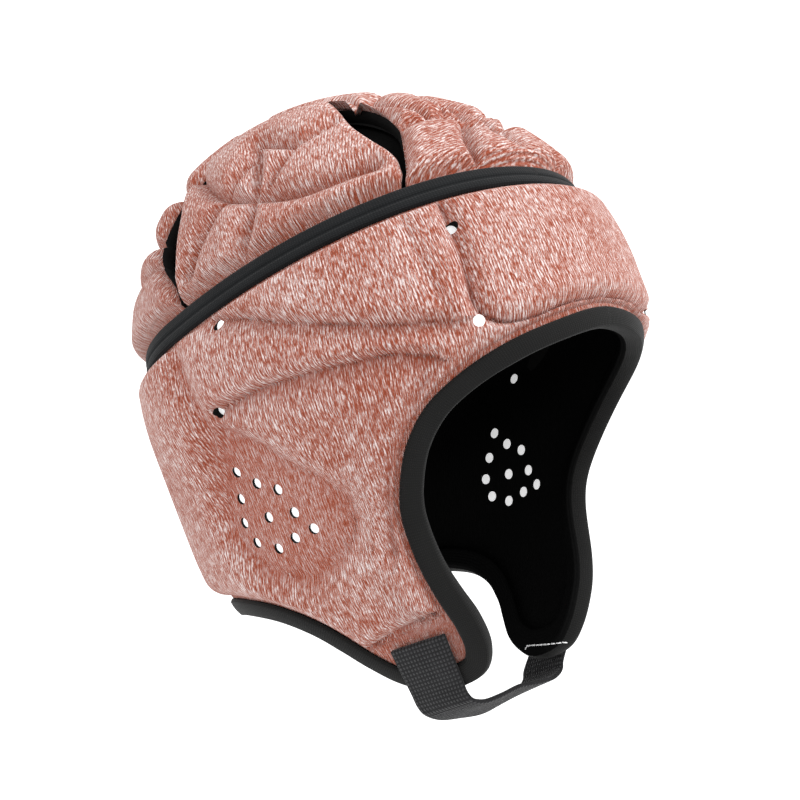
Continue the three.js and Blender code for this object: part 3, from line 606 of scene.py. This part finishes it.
def swept_mesh(name, stations, closed, material, cloth=None):
    """A section of points carried along stations; stations has the shape (stations, section, 3)."""
    points = stations.reshape(-1, 3)
    numbers = np.arange(len(points)).reshape(stations.shape[:2])
    rings = np.vstack([numbers, numbers[:1]]) if closed else numbers
    faces = [list(face) for face in turned_out(points, grid_faces(rings, True))]
    if not closed:
        first = list(numbers[0])
        last = list(numbers[-1])
        facing_back = list(faces[0][:2]) == [first[1], first[0]]
        faces += [first if facing_back else first[::-1], last[::-1] if facing_back else last]
    return put_mesh(name, points, faces, material, cloth)


def place(piece, node, slot):
    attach(piece, "root")
    if node:
        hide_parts(node)
    return piece


# Materials


class Nodes:
    """Short names for the nodes and links of one material."""

    def __init__(self, name):
        self.material = bpy.data.materials.new(name)
        self.material.use_nodes = True
        self.tree = self.material.node_tree
        self.shader = self.tree.nodes["Principled BSDF"]

    def add(self, kind, **settings):
        node = self.tree.nodes.new(kind)
        for key, value in settings.items():
            setattr(node, key, value)
        return node

    def feed(self, socket, value):
        if isinstance(value, bpy.types.NodeSocket):
            self.tree.links.new(value, socket)
        else:
            socket.default_value = value

    def math(self, operation, first, second=0.0):
        node = self.add("ShaderNodeMath", operation=operation)
        self.feed(node.inputs[0], first)
        self.feed(node.inputs[1], second)
        return node.outputs[0]

    def ranged(self, value, low, high, to_low=0.0, to_high=1.0):
        node = self.add("ShaderNodeMapRange", interpolation_type="SMOOTHSTEP")
        for socket, setting in zip(node.inputs, (value, low, high, to_low, to_high)):
            self.feed(socket, setting)
        return node.outputs[0]

    def cloth(self):
        place_node = self.add("ShaderNodeUVMap", uv_map="cloth")
        split = self.add("ShaderNodeSeparateXYZ")
        self.feed(split.inputs[0], place_node.outputs[0])
        return split.outputs[0], split.outputs[1]

    def spots(self, across, along, width, length, detail=2.0, seed=0.0):
        """Noise whose spots are width by length on the cloth."""
        joined = self.add("ShaderNodeCombineXYZ")
        self.feed(joined.inputs[0], self.math("MULTIPLY", across, 1 / width))
        self.feed(joined.inputs[1], self.math("MULTIPLY", along, 1 / length))
        joined.inputs[2].default_value = seed
        noise = self.add("ShaderNodeTexNoise")
        self.feed(noise.inputs["Vector"], joined.outputs[0])
        noise.inputs["Scale"].default_value = 1.0
        noise.inputs["Detail"].default_value = detail
        noise.inputs["Roughness"].default_value = 0.6
        return noise.outputs[0]

    def wave(self, value, pitch, shift=0.0):
        """A smooth wave from 0 to 1 with that pitch."""
        phase = self.math("ADD", self.math("MULTIPLY", value, 2 * math.pi / pitch), shift)
        return self.math("MULTIPLY", self.math("ADD", self.math("SINE", phase), 1.0), 0.5)

    def mix(self, share, first, second, mode="MIX"):
        node = self.add("ShaderNodeMix", data_type="RGBA", blend_type=mode)
        self.feed(node.inputs[0], share)
        self.feed(node.inputs[6], first)
        self.feed(node.inputs[7], second)
        return node.outputs[2]

    def bump(self, height, depth):
        node = self.add("ShaderNodeBump")
        node.inputs["Strength"].default_value = 1.0
        node.inputs["Distance"].default_value = depth * MM
        self.feed(node.inputs["Height"], height)
        self.feed(self.shader.inputs["Normal"], node.outputs[0])

    def finish(self, colour, roughness, sheen=0.0, sheen_tint=(1, 1, 1, 1), specular=0.2):
        self.feed(self.shader.inputs["Base Color"], colour)
        self.shader.inputs["Roughness"].default_value = roughness
        self.shader.inputs["Specular IOR Level"].default_value = specular
        self.shader.inputs["Sheen Weight"].default_value = sheen
        self.shader.inputs["Sheen Roughness"].default_value = 0.4
        self.shader.inputs["Sheen Tint"].default_value = sheen_tint
        return self.material


PALE = (0.67, 0.57, 0.555, 1)
ROSE = (0.42, 0.2, 0.16, 1)
RUST = (0.26, 0.055, 0.026, 1)
DEEP = (0.13, 0.03, 0.018, 1)
WALE_PITCH = 1.15
CHEEK_TURN = 60
CLOTH_SHIFT_FROM = 10
COURSE_PITCH = 0.95


def knit_material():
    """Heather knit: pale yarn with rust streaks along the wales, over rows of small stitches, with painted
    shade that darkens it towards rust in the folds between the pads.
    """
    nodes = Nodes("heather_knit")
    across, along = nodes.cloth()
    drift = nodes.spots(across, along, 26, 40, 1, 3)
    wander = nodes.math("ADD", across, nodes.math("MULTIPLY", drift, 5.0))
    broad = nodes.spots(wander, along, 0.6, 4.6, 2, 1)
    fine = nodes.spots(wander, along, 0.36, 2.0, 2, 7)
    streak = nodes.math("ADD", nodes.math("MULTIPLY", broad, 0.5), nodes.math("MULTIPLY", fine, 0.5))
    streak = nodes.math("ADD", streak, nodes.math("MULTIPLY", drift, 0.1))
    rosy = nodes.ranged(streak, 0.47, 0.54)
    rusty = nodes.ranged(streak, 0.55, 0.61)
    colour = nodes.mix(rusty, nodes.mix(rosy, PALE, ROSE), RUST)
    column = nodes.wave(across, WALE_PITCH)
    lean = nodes.math("PINGPONG", nodes.math("MULTIPLY", across, 1 / WALE_PITCH), 0.5)
    course = nodes.wave(nodes.math("ADD", along, nodes.math("MULTIPLY", lean, COURSE_PITCH)), COURSE_PITCH)
    stitch = nodes.math("MULTIPLY", column, nodes.math("ADD", nodes.math("MULTIPLY", course, 0.5), 0.5))
    colour = nodes.mix(nodes.ranged(stitch, 0.0, 0.5, 0.5, 0.0), colour, DEEP)
    # Painted shade: where the relief is low, in the folds between the pads, the knit is mixed towards rust.
    relief = nodes.add("ShaderNodeAttribute", attribute_name="relief")
    colour = nodes.mix(nodes.ranged(relief.outputs["Fac"], 0.0, 0.6, 0.45, 0.0), colour, RUST)
    nodes.bump(nodes.math("ADD", stitch, nodes.math("MULTIPLY", fine, 0.6)), 0.36)
    return nodes.finish(colour, 0.95, sheen=0.25, sheen_tint=(1, 0.9, 0.87, 1), specular=0.1)


def ribbed_material(name, dark, light, rib, depth, sheen):
    """Dark narrow fabric with fine ribs across it, their raised tops painted lighter as a highlight, and
    slightly uneven wear.
    """
    nodes = Nodes(name)
    across, along = nodes.cloth()
    ribs = nodes.wave(along, rib)
    threads = nodes.wave(across, rib * 0.8)
    weave = nodes.math("MULTIPLY", ribs, threads)
    fuzz = nodes.spots(across, along, 0.5, 0.5, 2, 5)
    wear = nodes.spots(across, along, 9, 14, 2, 2)
    height = nodes.math("ADD", weave, nodes.math("MULTIPLY", fuzz, 0.4))
    # Painted highlight on the raised ribs, mixed with uneven wear: the colour turns lighter where the weave
    # stands high.
    wear_and_rib_highlight = nodes.math("ADD", nodes.math("MULTIPLY", height, 0.6), nodes.math("MULTIPLY", wear, 0.4))
    shade = nodes.ranged(wear_and_rib_highlight, 0.2, 0.9)
    nodes.bump(height, depth)
    return nodes.finish(nodes.mix(shade, dark, light), 0.85, sheen=sheen, specular=0.15)


def lining_material():
    nodes = Nodes("black_jersey")
    across, along = nodes.cloth()
    columns = nodes.wave(across, 1.4)
    fuzz = nodes.spots(across, along, 0.8, 1.6, 2, 4)
    nodes.bump(nodes.math("ADD", columns, fuzz), 0.1)
    colour = nodes.mix(fuzz, (0.003, 0.003, 0.003, 1), (0.006, 0.006, 0.006, 1))
    return nodes.finish(colour, 1.0, specular=0.0)


def plain_material(name, colour, roughness, painted_glow=0.0):
    nodes = Nodes(name)
    # The emission is painted light: a material with it glows though it is no lamp.
    nodes.shader.inputs["Emission Color"].default_value = colour
    nodes.shader.inputs["Emission Strength"].default_value = painted_glow
    across, along = nodes.cloth()
    grain = nodes.spots(across, along, 0.6, 0.6, 2, 9)
    nodes.bump(grain, 0.05)
    darker = tuple(0.85 * part for part in colour[:3]) + (1,)
    return nodes.finish(nodes.mix(grain, darker, colour), roughness, specular=0.1)


knit = knit_material()
lining = lining_material()
tape = ribbed_material(
    "tape_twill", (0.0046, 0.0052, 0.0058, 1), (0.0092, 0.0104, 0.0115, 1), rib=0.9, depth=0.12, sheen=0.06
)
binding = ribbed_material(
    "binding_twill", (0.0045, 0.0045, 0.0043, 1), (0.0086, 0.0086, 0.0083, 1), rib=0.9, depth=0.1, sheen=0.06
)
webbing = ribbed_material(
    "strap_webbing", (0.006, 0.006, 0.0065, 1), (0.03, 0.03, 0.032, 1), rib=1.9, depth=0.5, sheen=0.08
)
foam = plain_material("black_foam", (0.006, 0.006, 0.006, 1), 1.0)
# The pale backing glows: painted light that brightens the discs out of the shade at the bottom of the air
# holes.
backing = plain_material("pale_backing_painted_glow", (0.95, 0.95, 0.95, 1), 0.9, 0.45)
thread = plain_material("white_thread", (0.85, 0.85, 0.85, 1), 0.7)


# Places on the flat cloth


def level_arc(turn, z, steps=12):
    """Length of the level line of the form from the middle of the brow to a turn."""
    turn, z = np.broadcast_arrays(np.asarray(turn, float), np.asarray(z, float))
    line = at_height(turn[..., None] * np.linspace(0, 1, steps + 1), z[..., None])
    return np.linalg.norm(np.diff(line, axis=-2), axis=-1).sum(axis=-1)


def side_cloth(points):
    """Unrolled from the middle of the brow and shifted, to keep the wales upright at the turn of the cheek."""
    z = points[..., 2]
    turn = np.abs(np.degrees(np.arctan2(-points[..., 0], -points[..., 1])))
    share = np.clip((turn - CLOTH_SHIFT_FROM) / (CHEEK_TURN - CLOTH_SHIFT_FROM), 0, 1)
    shift = share**2 * (3 - 2 * share) * (level_arc(CHEEK_TURN, BROW_LEVEL) - level_arc(CHEEK_TURN, z))
    across = np.where(points[..., 0] < 0, 1, -1) * (level_arc(turn, z) + shift)
    return np.stack([across, z], axis=-1)


def crown_cloth(plan, turn):
    """Plan of the dome in millimetres with the wales along that turn."""
    along = np.array([math.sin(math.radians(turn)), math.cos(math.radians(turn))])
    across = np.array([along[1], -along[0]])
    scale = math.radians(1) * CROWN_RISE
    return np.stack([plan @ across, plan @ along], axis=-1) * scale


# Pieces


def hole_cutters(holes):
    points = at_level(holes)
    points = np.vstack([points, points * mirror])
    return points, outward(points)


def disc_stack(points, normals, radius, offsets, sides=28):
    """Short closed cylinders along the normals, as one mesh's points and faces."""
    helper = np.where(np.abs(normals[:, 2:]) < 0.9, [[0, 0, 1.0]], [[1.0, 0, 0]])
    first = unit(np.cross(helper, normals))
    second = np.cross(normals, first)
    angle = np.linspace(0, 2 * math.pi, sides, endpoint=False)
    ring = np.cos(angle)[None, :, None] * first[:, None] + np.sin(angle)[None, :, None] * second[:, None]
    rings = [points[:, None] + radius * ring + normals[:, None] * offset for offset in offsets]
    made_points = np.stack(rings, axis=1).reshape(-1, 3)
    faces = []
    for index in range(len(points)):
        low = index * 2 * sides + np.arange(sides)
        high = low + sides
        faces += [[low[k], low[(k + 1) % sides], high[(k + 1) % sides], high[k]] for k in range(sides)]
        faces += [list(low[::-1]), list(high)]
    return made_points, faces


def pierced(piece, holes):
    """Cuts air holes through a piece; their walls show black foam."""
    points, normals = hole_cutters(holes)
    made_points, faces = disc_stack(points, normals, HOLE_WIDTH / 2, (-CUT_DEPTH * FORM_COVER, FORM_COVER))
    cutter = put_mesh("hole_cutters", made_points, faces, foam, np.zeros((len(made_points), 2)), smooth=False)
    cut = piece.modifiers.new("holes", "BOOLEAN")
    cut.operation = "DIFFERENCE"
    cut.solver = "MANIFOLD"
    cut.material_mode = "TRANSFER"
    cut.object = cutter
    bpy.context.view_layer.update()
    result = bpy.data.meshes.new_from_object(piece.evaluated_get(bpy.context.evaluated_depsgraph_get()))
    piece.modifiers.remove(cut)
    piece.data = result
    bpy.data.objects.remove(cutter)
    piece.data.set_sharp_from_angle(angle=math.radians(SHARP_ANGLE))
    return piece


def dimples(points):
    """The knit is drawn in a little round each air hole."""
    right = np.concatenate([-np.abs(points[..., :1]), points[..., 1:]], axis=-1)
    pull = np.zeros(points.shape[:-1])
    for hole in at_level(HOLES):
        pull += np.exp(-((np.linalg.norm(right - hole, axis=-1) / DIMPLE_REACH) ** 2))
    return pull


def side_panel():
    outer = side_grid(SIDE_ROWS)
    inner = side_grid(INNER_ROWS)
    height = side_height(outer)
    offset = FOLD_FOAM - FORM_COVER + SIDE_RISE * height - DIMPLE * dimples(outer)
    raised = off_form(outer, offset)
    cloth = side_cloth(outer).reshape(-1, 2)
    under = off_form(inner, np.full(inner.shape[:2], -FORM_COVER))
    piece = wall_mesh("side_panel_knit", raised, under, True, knit, cloth, height.ravel(), foam)
    return place(pierced(piece, HOLES), "side_panel", "knit")


def side_lining():
    grid = side_grid(SIDE_LINING_ROWS)
    face = -FORM_COVER - LAYER_GAP
    layers = [off_form(grid, np.full(grid.shape[:2], offset)) for offset in (face, face - LINING_WALL)]
    cloth = np.vstack([side_cloth(grid).reshape(-1, 2)] * 2)
    piece = wall_mesh("side_lining_jersey", *layers, True, lining, cloth, np.ones(len(cloth)))
    return place(pierced(piece, THROUGH_HOLES), "side_lining", "lining")


def strip_cloth(across, along):
    """Places on the flat cloth of a strip, for each station along it and each point across it."""
    return np.stack(np.meshgrid(across, along), axis=-1).reshape(-1, 2)


def tape_profile():
    """Cross profile of the tape from side to side: place across it and height above its flat underside."""
    across = np.linspace(-1, 1, TAPE_COLUMNS)
    height = (TAPE_WALL + TAPE_SWELL) * (1 - np.abs(across) ** 6) ** 0.5
    crease = np.exp(-(((across + TAPE_CREASE["place"]) / TAPE_CREASE["width"]) ** 2))
    return across * TAPE_WIDTH / 2, height * (1 - TAPE_CREASE["depth"] * crease)


def crown_tape():
    turns = np.linspace(0, 360, TAPE_STATIONS, endpoint=False)
    bottom = FOLD_FOAM - FORM_COVER + TRIM_GAP
    sides, heights = tape_profile()
    under_sides = sides[::-TAPE_UNDER_STEP]
    across = np.concatenate([sides, under_sides])
    offsets = np.concatenate([bottom + heights, np.full(len(under_sides), bottom - TAPE_LAP)])
    lines = [
        off_form(seam_across(turns, side), np.full(len(turns), offset)) for side, offset in zip(across, offsets)
    ]
    length = np.linspace(0, 2 * math.pi * CAP_WIDTH / 2, len(turns))
    piece = swept_mesh("crown_tape", np.stack(lines, axis=1), True, tape, strip_cloth(across, length))
    return place(piece, "crown_band", "tape")


def edge_binding():
    outside = FOLD_FOAM - FORM_COVER + TRIM_GAP
    inside = -FORM_COVER - LAYER_GAP - LINING_WALL - LINING_SLOT
    nose_middle = (outside + inside) / 2
    nose_half = (outside - inside) / 2 + BINDING_WALL
    profile = []
    leg_from, lip = BINDING_LEG["from"], BINDING_LEG["lip"]
    for share in np.linspace(1, leg_from, 10):
        swell = BINDING_LEG["swell"] * math.sin(math.pi * min(1.0, (1 - share) / (1 - leg_from)))
        drop = BINDING_LEG["drop"] * max(0.0, share - lip) / (1 - lip)
        profile.append((BINDING_WIDTH * share, outside + BINDING_WALL + swell - drop))
    for angle in np.radians(np.linspace(BINDING_NOSE["angle"], -BINDING_NOSE["angle"], BINDING_NOSE["points"])):
        reach = BINDING_NOSE["depth"] * (1 - math.cos(angle))
        profile.append((reach, nose_middle + nose_half * math.sin(angle)))
    for share in np.linspace(leg_from, 1, 8):
        profile.append((BINDING_WIDTH * share, inside - BINDING_WALL))
    for offset in (inside, outside):
        ends = (BINDING_WIDTH, BINDING_WALL)
        profile += [(reach, offset) for reach in (ends if offset == inside else ends[::-1])]
    lines = [off_form(from_edge(reach), np.full(edge_count, offset)) for reach, offset in profile]
    lengths = np.interp(edge_shares, np.linspace(0, 1, edge_count * 2 + 1), fine_length)
    turns = np.concatenate([[0], np.cumsum(np.hypot(*np.diff(np.array(profile), axis=0).T))])
    cloth = strip_cloth(turns, lengths)
    piece = swept_mesh("edge_binding_tape", np.stack(lines, axis=1), True, binding, cloth)
    piece.data.materials.append(lining)
    section = np.arange(len(piece.data.polygons)) % len(profile)
    piece.data.polygons.foreach_set("material_index", (section >= BINDING_BACK_FROM).astype(np.int32))
    return place(piece, "edge_binding", "binding")


def plan_curve(pairs, count):
    return curve_points(to_plan(pairs), np.linspace(0, 1, count + 1))


def plan_arc(start, end, count, distance):
    return seam_plan(np.linspace(start, end, count + 1), distance)


def plan_side(*lines):
    return np.vstack([lines[0], *[line[1:] for line in lines[1:]]])


def plan_grid(bottom, top, left, right):
    """Plan points between four sides; the bends of the left and right sides fade out towards the middle."""
    u = np.linspace(0, 1, len(bottom))[None, :, None]
    v = np.linspace(0, 1, len(left))[:, None, None]
    along = bottom[None] * (1 - v) + top[None] * v
    left_bend = left[:, None] - (bottom[0] * (1 - v) + top[0] * v)
    right_bend = right[:, None] - (bottom[-1] * (1 - v) + top[-1] * v)
    return along + left_bend * (1 - u) ** BEND_FADE + right_bend * u**BEND_FADE


def seam_leg(turn, foot):
    reach = TAPE_WIDTH / 2 + TRIM_RELIEF
    ends = np.stack([seam_plan(turn, reach), to_plan(foot)])
    return curve_points(ends, np.linspace(0, 1, CROWN_DIVISIONS["seam"] + 1))


def top_line():
    return plan_curve([FRONT_VENT["head"], *TOP_SEAM, BACK_VENT["head"]], CROWN_DIVISIONS["top"])


def right_panel_plan():
    sides = []
    for turn, vent in ((FRONT_SEAM_TURN, FRONT_VENT), (BACK_SEAM_TURN, BACK_VENT)):
        line = plan_curve([vent["foot"], *vent["panel"], vent["head"]], CROWN_DIVISIONS["vent_panel"])
        sides.append(plan_side(seam_leg(turn, vent["foot"]), line))
    bottom, under = (
        plan_arc(FRONT_SEAM_TURN, BACK_SEAM_TURN, CROWN_DIVISIONS["top"], distance)
        for distance in (TAPE_WIDTH / 2 + TRIM_RELIEF, 0.0)
    )
    return np.concatenate([under[None], plan_grid(bottom, top_line(), *sides)])


def middle_panel_plan():
    count = CROWN_DIVISIONS["vent_middle"]
    right = plan_side(
        seam_leg(FRONT_SEAM_TURN, FRONT_VENT["foot"]),
        plan_curve([FRONT_VENT["foot"], *FRONT_VENT["middle"], FRONT_VENT["head"]], count),
        top_line(),
        plan_curve([BACK_VENT["head"], *BACK_VENT["middle"][::-1], BACK_VENT["foot"]], count),
        seam_leg(BACK_SEAM_TURN, BACK_VENT["foot"])[::-1],
    )
    reach = TAPE_WIDTH / 2 + TRIM_RELIEF
    ends = []
    for start, end in ((-FRONT_SEAM_TURN, FRONT_SEAM_TURN), (360 - BACK_SEAM_TURN, BACK_SEAM_TURN)):
        ends.append([plan_arc(start, end, CROWN_DIVISIONS["middle"], distance) for distance in (0.0, reach)])
    (front_edge, front), (back_edge, back) = ends
    grid = plan_grid(front, back, right * [-1, 1], right)
    return np.concatenate([front_edge[None], grid, back_edge[None]])


def drawn_in(plan):
    """Form points of a plan grid whose border is drawn in by half the seam gap."""
    points = from_plan(plan)
    rows, columns = np.indices(points.shape[:2])
    inner = points[np.clip(rows, 1, len(points) - 2), np.clip(columns, 1, points.shape[1] - 2)]
    away = inner - points
    border = np.linalg.norm(away, axis=-1, keepdims=True) > 1e-6
    return on_form(points + np.where(border, unit(away) * SEAM_GAP, 0))


def crown_panel(name, node, plan, folds, wales):
    grid = drawn_in(plan)
    rim = np.concatenate([grid[0], grid[1:, -1], grid[-1, ::-1], grid[::-1, 0]])[::3]
    height = fold_height(grid, folds, at_fall)
    from_rim = distance_to(rim, grid) + CROWN_MARGIN["edge"]
    edge = pad_edge(from_rim, CROWN_MARGIN["width"], CROWN_MARGIN["sharp"])
    above = distance_to(seam_line, grid) - TAPE_WIDTH / 2 - PAD_START
    low = pad_edge(above, SEAM_RISE, CROWN_MARGIN_SHARP)
    height = np.minimum(height, np.minimum(edge, low))
    outer = off_form(grid, FOLD_FOAM - FORM_COVER + CROWN_RELIEF * height)
    inner = off_form(grid, np.full(grid.shape[:2], -FORM_COVER))
    cloth = crown_cloth(plan, wales).reshape(-1, 2)
    piece = wall_mesh(name, outer, inner, False, knit, cloth, height.ravel(), foam)
    return place(piece, node, "knit")


def crown_lining():
    rings, columns = LINING_RINGS, LINING_COLUMNS
    turns = np.linspace(0, 360, columns, endpoint=False)
    rim = seam_plan(turns) * LINING_RIM
    shares = (1 - np.arange(rings) / rings)[:, None, None]
    plan = rim[None] * shares
    face = -FORM_COVER - CROWN_LINING_GAP
    offsets = (face, face - LINING_WALL)
    layers = [off_form(from_plan(plan), np.full(plan.shape[:2], offset)).reshape(-1, 3) for offset in offsets]
    tops = [off_form(from_plan(np.zeros((1, 2))), np.array([offset])) for offset in offsets]
    points = np.vstack([*layers, *tops])
    count = rings * columns
    outside = np.arange(count).reshape(rings, columns)
    inside = outside + count
    faces = [list(face) for face in grid_faces(outside, True)]
    faces += [list(face[::-1]) for face in grid_faces(inside, True)]
    faces += [list(face) for face in grid_faces(np.stack([inside[0], outside[0]]), True)]
    for step in range(columns):
        ahead = (step + 1) % columns
        faces.append([outside[-1, step], outside[-1, ahead], 2 * count])
        faces.append([inside[-1, ahead], inside[-1, step], 2 * count + 1])
    cloth = np.vstack([crown_cloth(plan, 0).reshape(-1, 2)] * 2 + [np.zeros((2, 2))])
    piece = put_mesh("crown_lining_jersey", points, faces, lining, cloth)
    return place(piece, "crown_lining", "lining")


def strap_line():
    """Middle line of the strap and its two edges, from the right flap to the left."""
    offset = FOLD_FOAM - FORM_COVER + TRIM_GAP + BINDING_WALL + STRAP_GAP + STRAP_WALL / 2
    middle = at_height(STRAP_TURN, np.array(STRAP_LEVELS) * FLAP_DROP)
    along = unit(np.cross(outward(middle), [0, 0, 1]))
    sides = (-1, 0, 1)
    places = [on_form(middle + along * side * STRAP_WIDTH / 2) for side in sides]
    on_flap = [off_form(line, np.full(len(middle), offset)) for line in places]
    curves = []
    for side, line in zip(sides, on_flap):
        end = line[-1]
        y = on_flap[1][-1][1] + side * STRAP_WIDTH / 2
        free = []
        for across, drop in STRAP_ROWS:
            tilt = side * STRAP_TILT * (1 - across)
            free.append([end[0] * across, y + (end[1] - y) * across, end[2] - STRAP_SAG * drop - tilt])
        half = np.vstack([line, free])
        curves.append(np.vstack([half, half[:-1][::-1] * mirror]))
    return curves


def chin_strap():
    shares = np.linspace(0, 1, STRAP_STATIONS)
    back, middle, front = (curve_points(curve, shares) for curve in strap_line())
    along = unit(np.gradient(middle, axis=0))
    normal = unit(np.cross(front - back, along))
    profile = []
    for side in np.linspace(-1, 1, STRAP_COLUMNS):
        edge = 1 - STRAP_SIDE["drop"] * max(0.0, abs(side) - STRAP_SIDE["from"]) / (1 - STRAP_SIDE["from"])
        groove = math.exp(-(((abs(side) - STRAP_GROOVE["place"]) / STRAP_GROOVE["width"]) ** 2))
        profile.append((side, edge - STRAP_GROOVE["depth"] * groove))
    profile += [(side, -height) for side, height in profile[::-1]]
    stations = []
    for side, height in profile:
        weights = side * (side - 1) / 2, 1 - side * side, side * (side + 1) / 2
        place_on = sum(weight * line for weight, line in zip(weights, (back, middle, front)))
        stations.append(place_on + normal * height * STRAP_WALL / 2)
    stations = np.stack(stations, axis=1)
    length = np.concatenate([[0], np.cumsum(np.linalg.norm(np.diff(middle, axis=0), axis=1))])
    cloth = strip_cloth([side * STRAP_WIDTH / 2 for side, _ in profile], length)
    piece = swept_mesh("chin_strap_webbing", stations, False, webbing, cloth)
    return place(piece, "chin_strap", "webbing")


def flap_stitches():
    """A bar of white stitches inside each flap, over the end of the strap."""
    marks = np.array(STITCH_LINE)
    reached = np.concatenate([[0], np.cumsum(np.linalg.norm(np.diff(marks, axis=0), axis=1))])
    middles = np.arange(STITCH_PITCH / 2, reached[-1], STITCH_PITCH)
    first, last = (
        np.stack([np.interp(middles + shift, reached, marks[:, axis]) for axis in range(3)], axis=1)
        for shift in (-STITCH_LENGTH / 2, STITCH_LENGTH / 2)
    )
    first, last = (np.vstack([ends, ends * mirror]) for ends in (first, last))
    half = STITCH_LENGTH / 2
    points, faces = disc_stack((first + last) / 2, unit(last - first), STITCH_WIDTH / 2, (-half, half), 8)
    piece = put_mesh("flap_stitches", points, faces, thread, np.zeros((len(points), 2)))
    place(piece, None, None)


def hole_backs():
    """What shows white in the air holes: below the knit, and in the lining where a hole goes right through."""
    points, normals = hole_cutters(HOLES)
    top = FOLD_FOAM - FORM_COVER + SIDE_RISE * side_height(points) - DIMPLE - HOLE_BACK_DEPTH
    outer = disc_stack(points + normals * top[:, None], normals, HOLE_WIDTH / 2 + HOLE_LAP, (-0.5, 0.0))
    points, normals = hole_cutters(THROUGH_HOLES)
    low = -FORM_COVER - LAYER_GAP - LINING_WALL
    inner = disc_stack(points + normals * low, normals, HOLE_WIDTH / 2 + HOLE_LAP, (-0.3, 0.4))
    for name, (made_points, faces) in (("hole_backs_outside", outer), ("hole_backs_inside", inner)):
        piece = put_mesh(name, made_points, faces, backing, np.zeros((len(made_points), 2)), smooth=False)
        place(piece, None, None)


side_panel()
side_lining()
crown_panel("crown_centre_knit", "crown_centre", middle_panel_plan(), CROWN_MIDDLE_FOLDS, 90)
right_plan = right_panel_plan()
crown_panel("crown_side_right_knit", "crown_side_right", right_plan, CROWN_SIDE_FOLDS, 54)
crown_panel("crown_side_left_knit", "crown_side_left", right_plan * [-1, 1], CROWN_SIDE_FOLDS, -54)
crown_lining()
crown_tape()
edge_binding()
chin_strap()
hole_backs()
flap_stitches()


# Studio


def camera_axes():
    turn, pitch, roll = (math.radians(CAMERA[key]) for key in ("turn", "pitch", "roll"))
    back = Vector((-math.sin(turn) * math.cos(pitch), -math.cos(turn) * math.cos(pitch), math.sin(pitch)))
    right = Vector((0, 0, 1)).cross(back).normalized()
    up = back.cross(right)
    return math.cos(roll) * right + math.sin(roll) * up, -math.sin(roll) * right + math.cos(roll) * up, back


def put_camera():
    right, up, back = camera_axes()
    data = bpy.data.cameras.new("camera")
    data.lens = CAMERA["lens"]
    data.sensor_width = CAMERA["sensor"]
    data.clip_start = 0.01
    camera = bpy.data.objects.new("camera", data)
    bpy.context.scene.collection.objects.link(camera)
    position = (back * CAMERA["distance"] + right * CAMERA["right"] + up * CAMERA["up"]) * MM
    matrix = Matrix((right, up, back)).transposed().to_4x4()
    matrix.translation = position
    camera.matrix_world = matrix
    bpy.context.scene.camera = camera


def put_light(name, side, height, ahead, size, power):
    right, up, back = camera_axes()
    data = bpy.data.lights.new(name, "AREA")
    data.size = size
    data.energy = power
    light = bpy.data.objects.new(name, data)
    bpy.context.scene.collection.objects.link(light)
    light.location = right * side + up * height + back * ahead
    light.rotation_mode = "QUATERNION"
    light.rotation_quaternion = light.location.to_track_quat("Z", "Y")


def put_world():
    world = bpy.data.worlds.new("studio")
    bpy.context.scene.world = world
    world.use_nodes = True
    background = world.node_tree.nodes["Background"]
    background.inputs["Color"].default_value = (1, 1, 1, 1)
    background.inputs["Strength"].default_value = WORLD_STRENGTH
    bpy.context.scene.view_settings.view_transform = "Standard"


def put_floor():
    side, level = FLOOR["half_side"], FLOOR["level"]
    corners = [(-side, -side), (side, -side), (side, side), (-side, side)]
    nodes = Nodes("floor_paper")
    material = nodes.finish(FLOOR["colour"], 0.9)
    points = [(x / MM, y / MM, level / MM) for x, y in corners]
    floor = put_mesh("floor", points, [[0, 1, 2, 3]], material, smooth=False)


put_camera()
for row in LIGHTS:
    put_light(**row)
put_world()
put_floor()
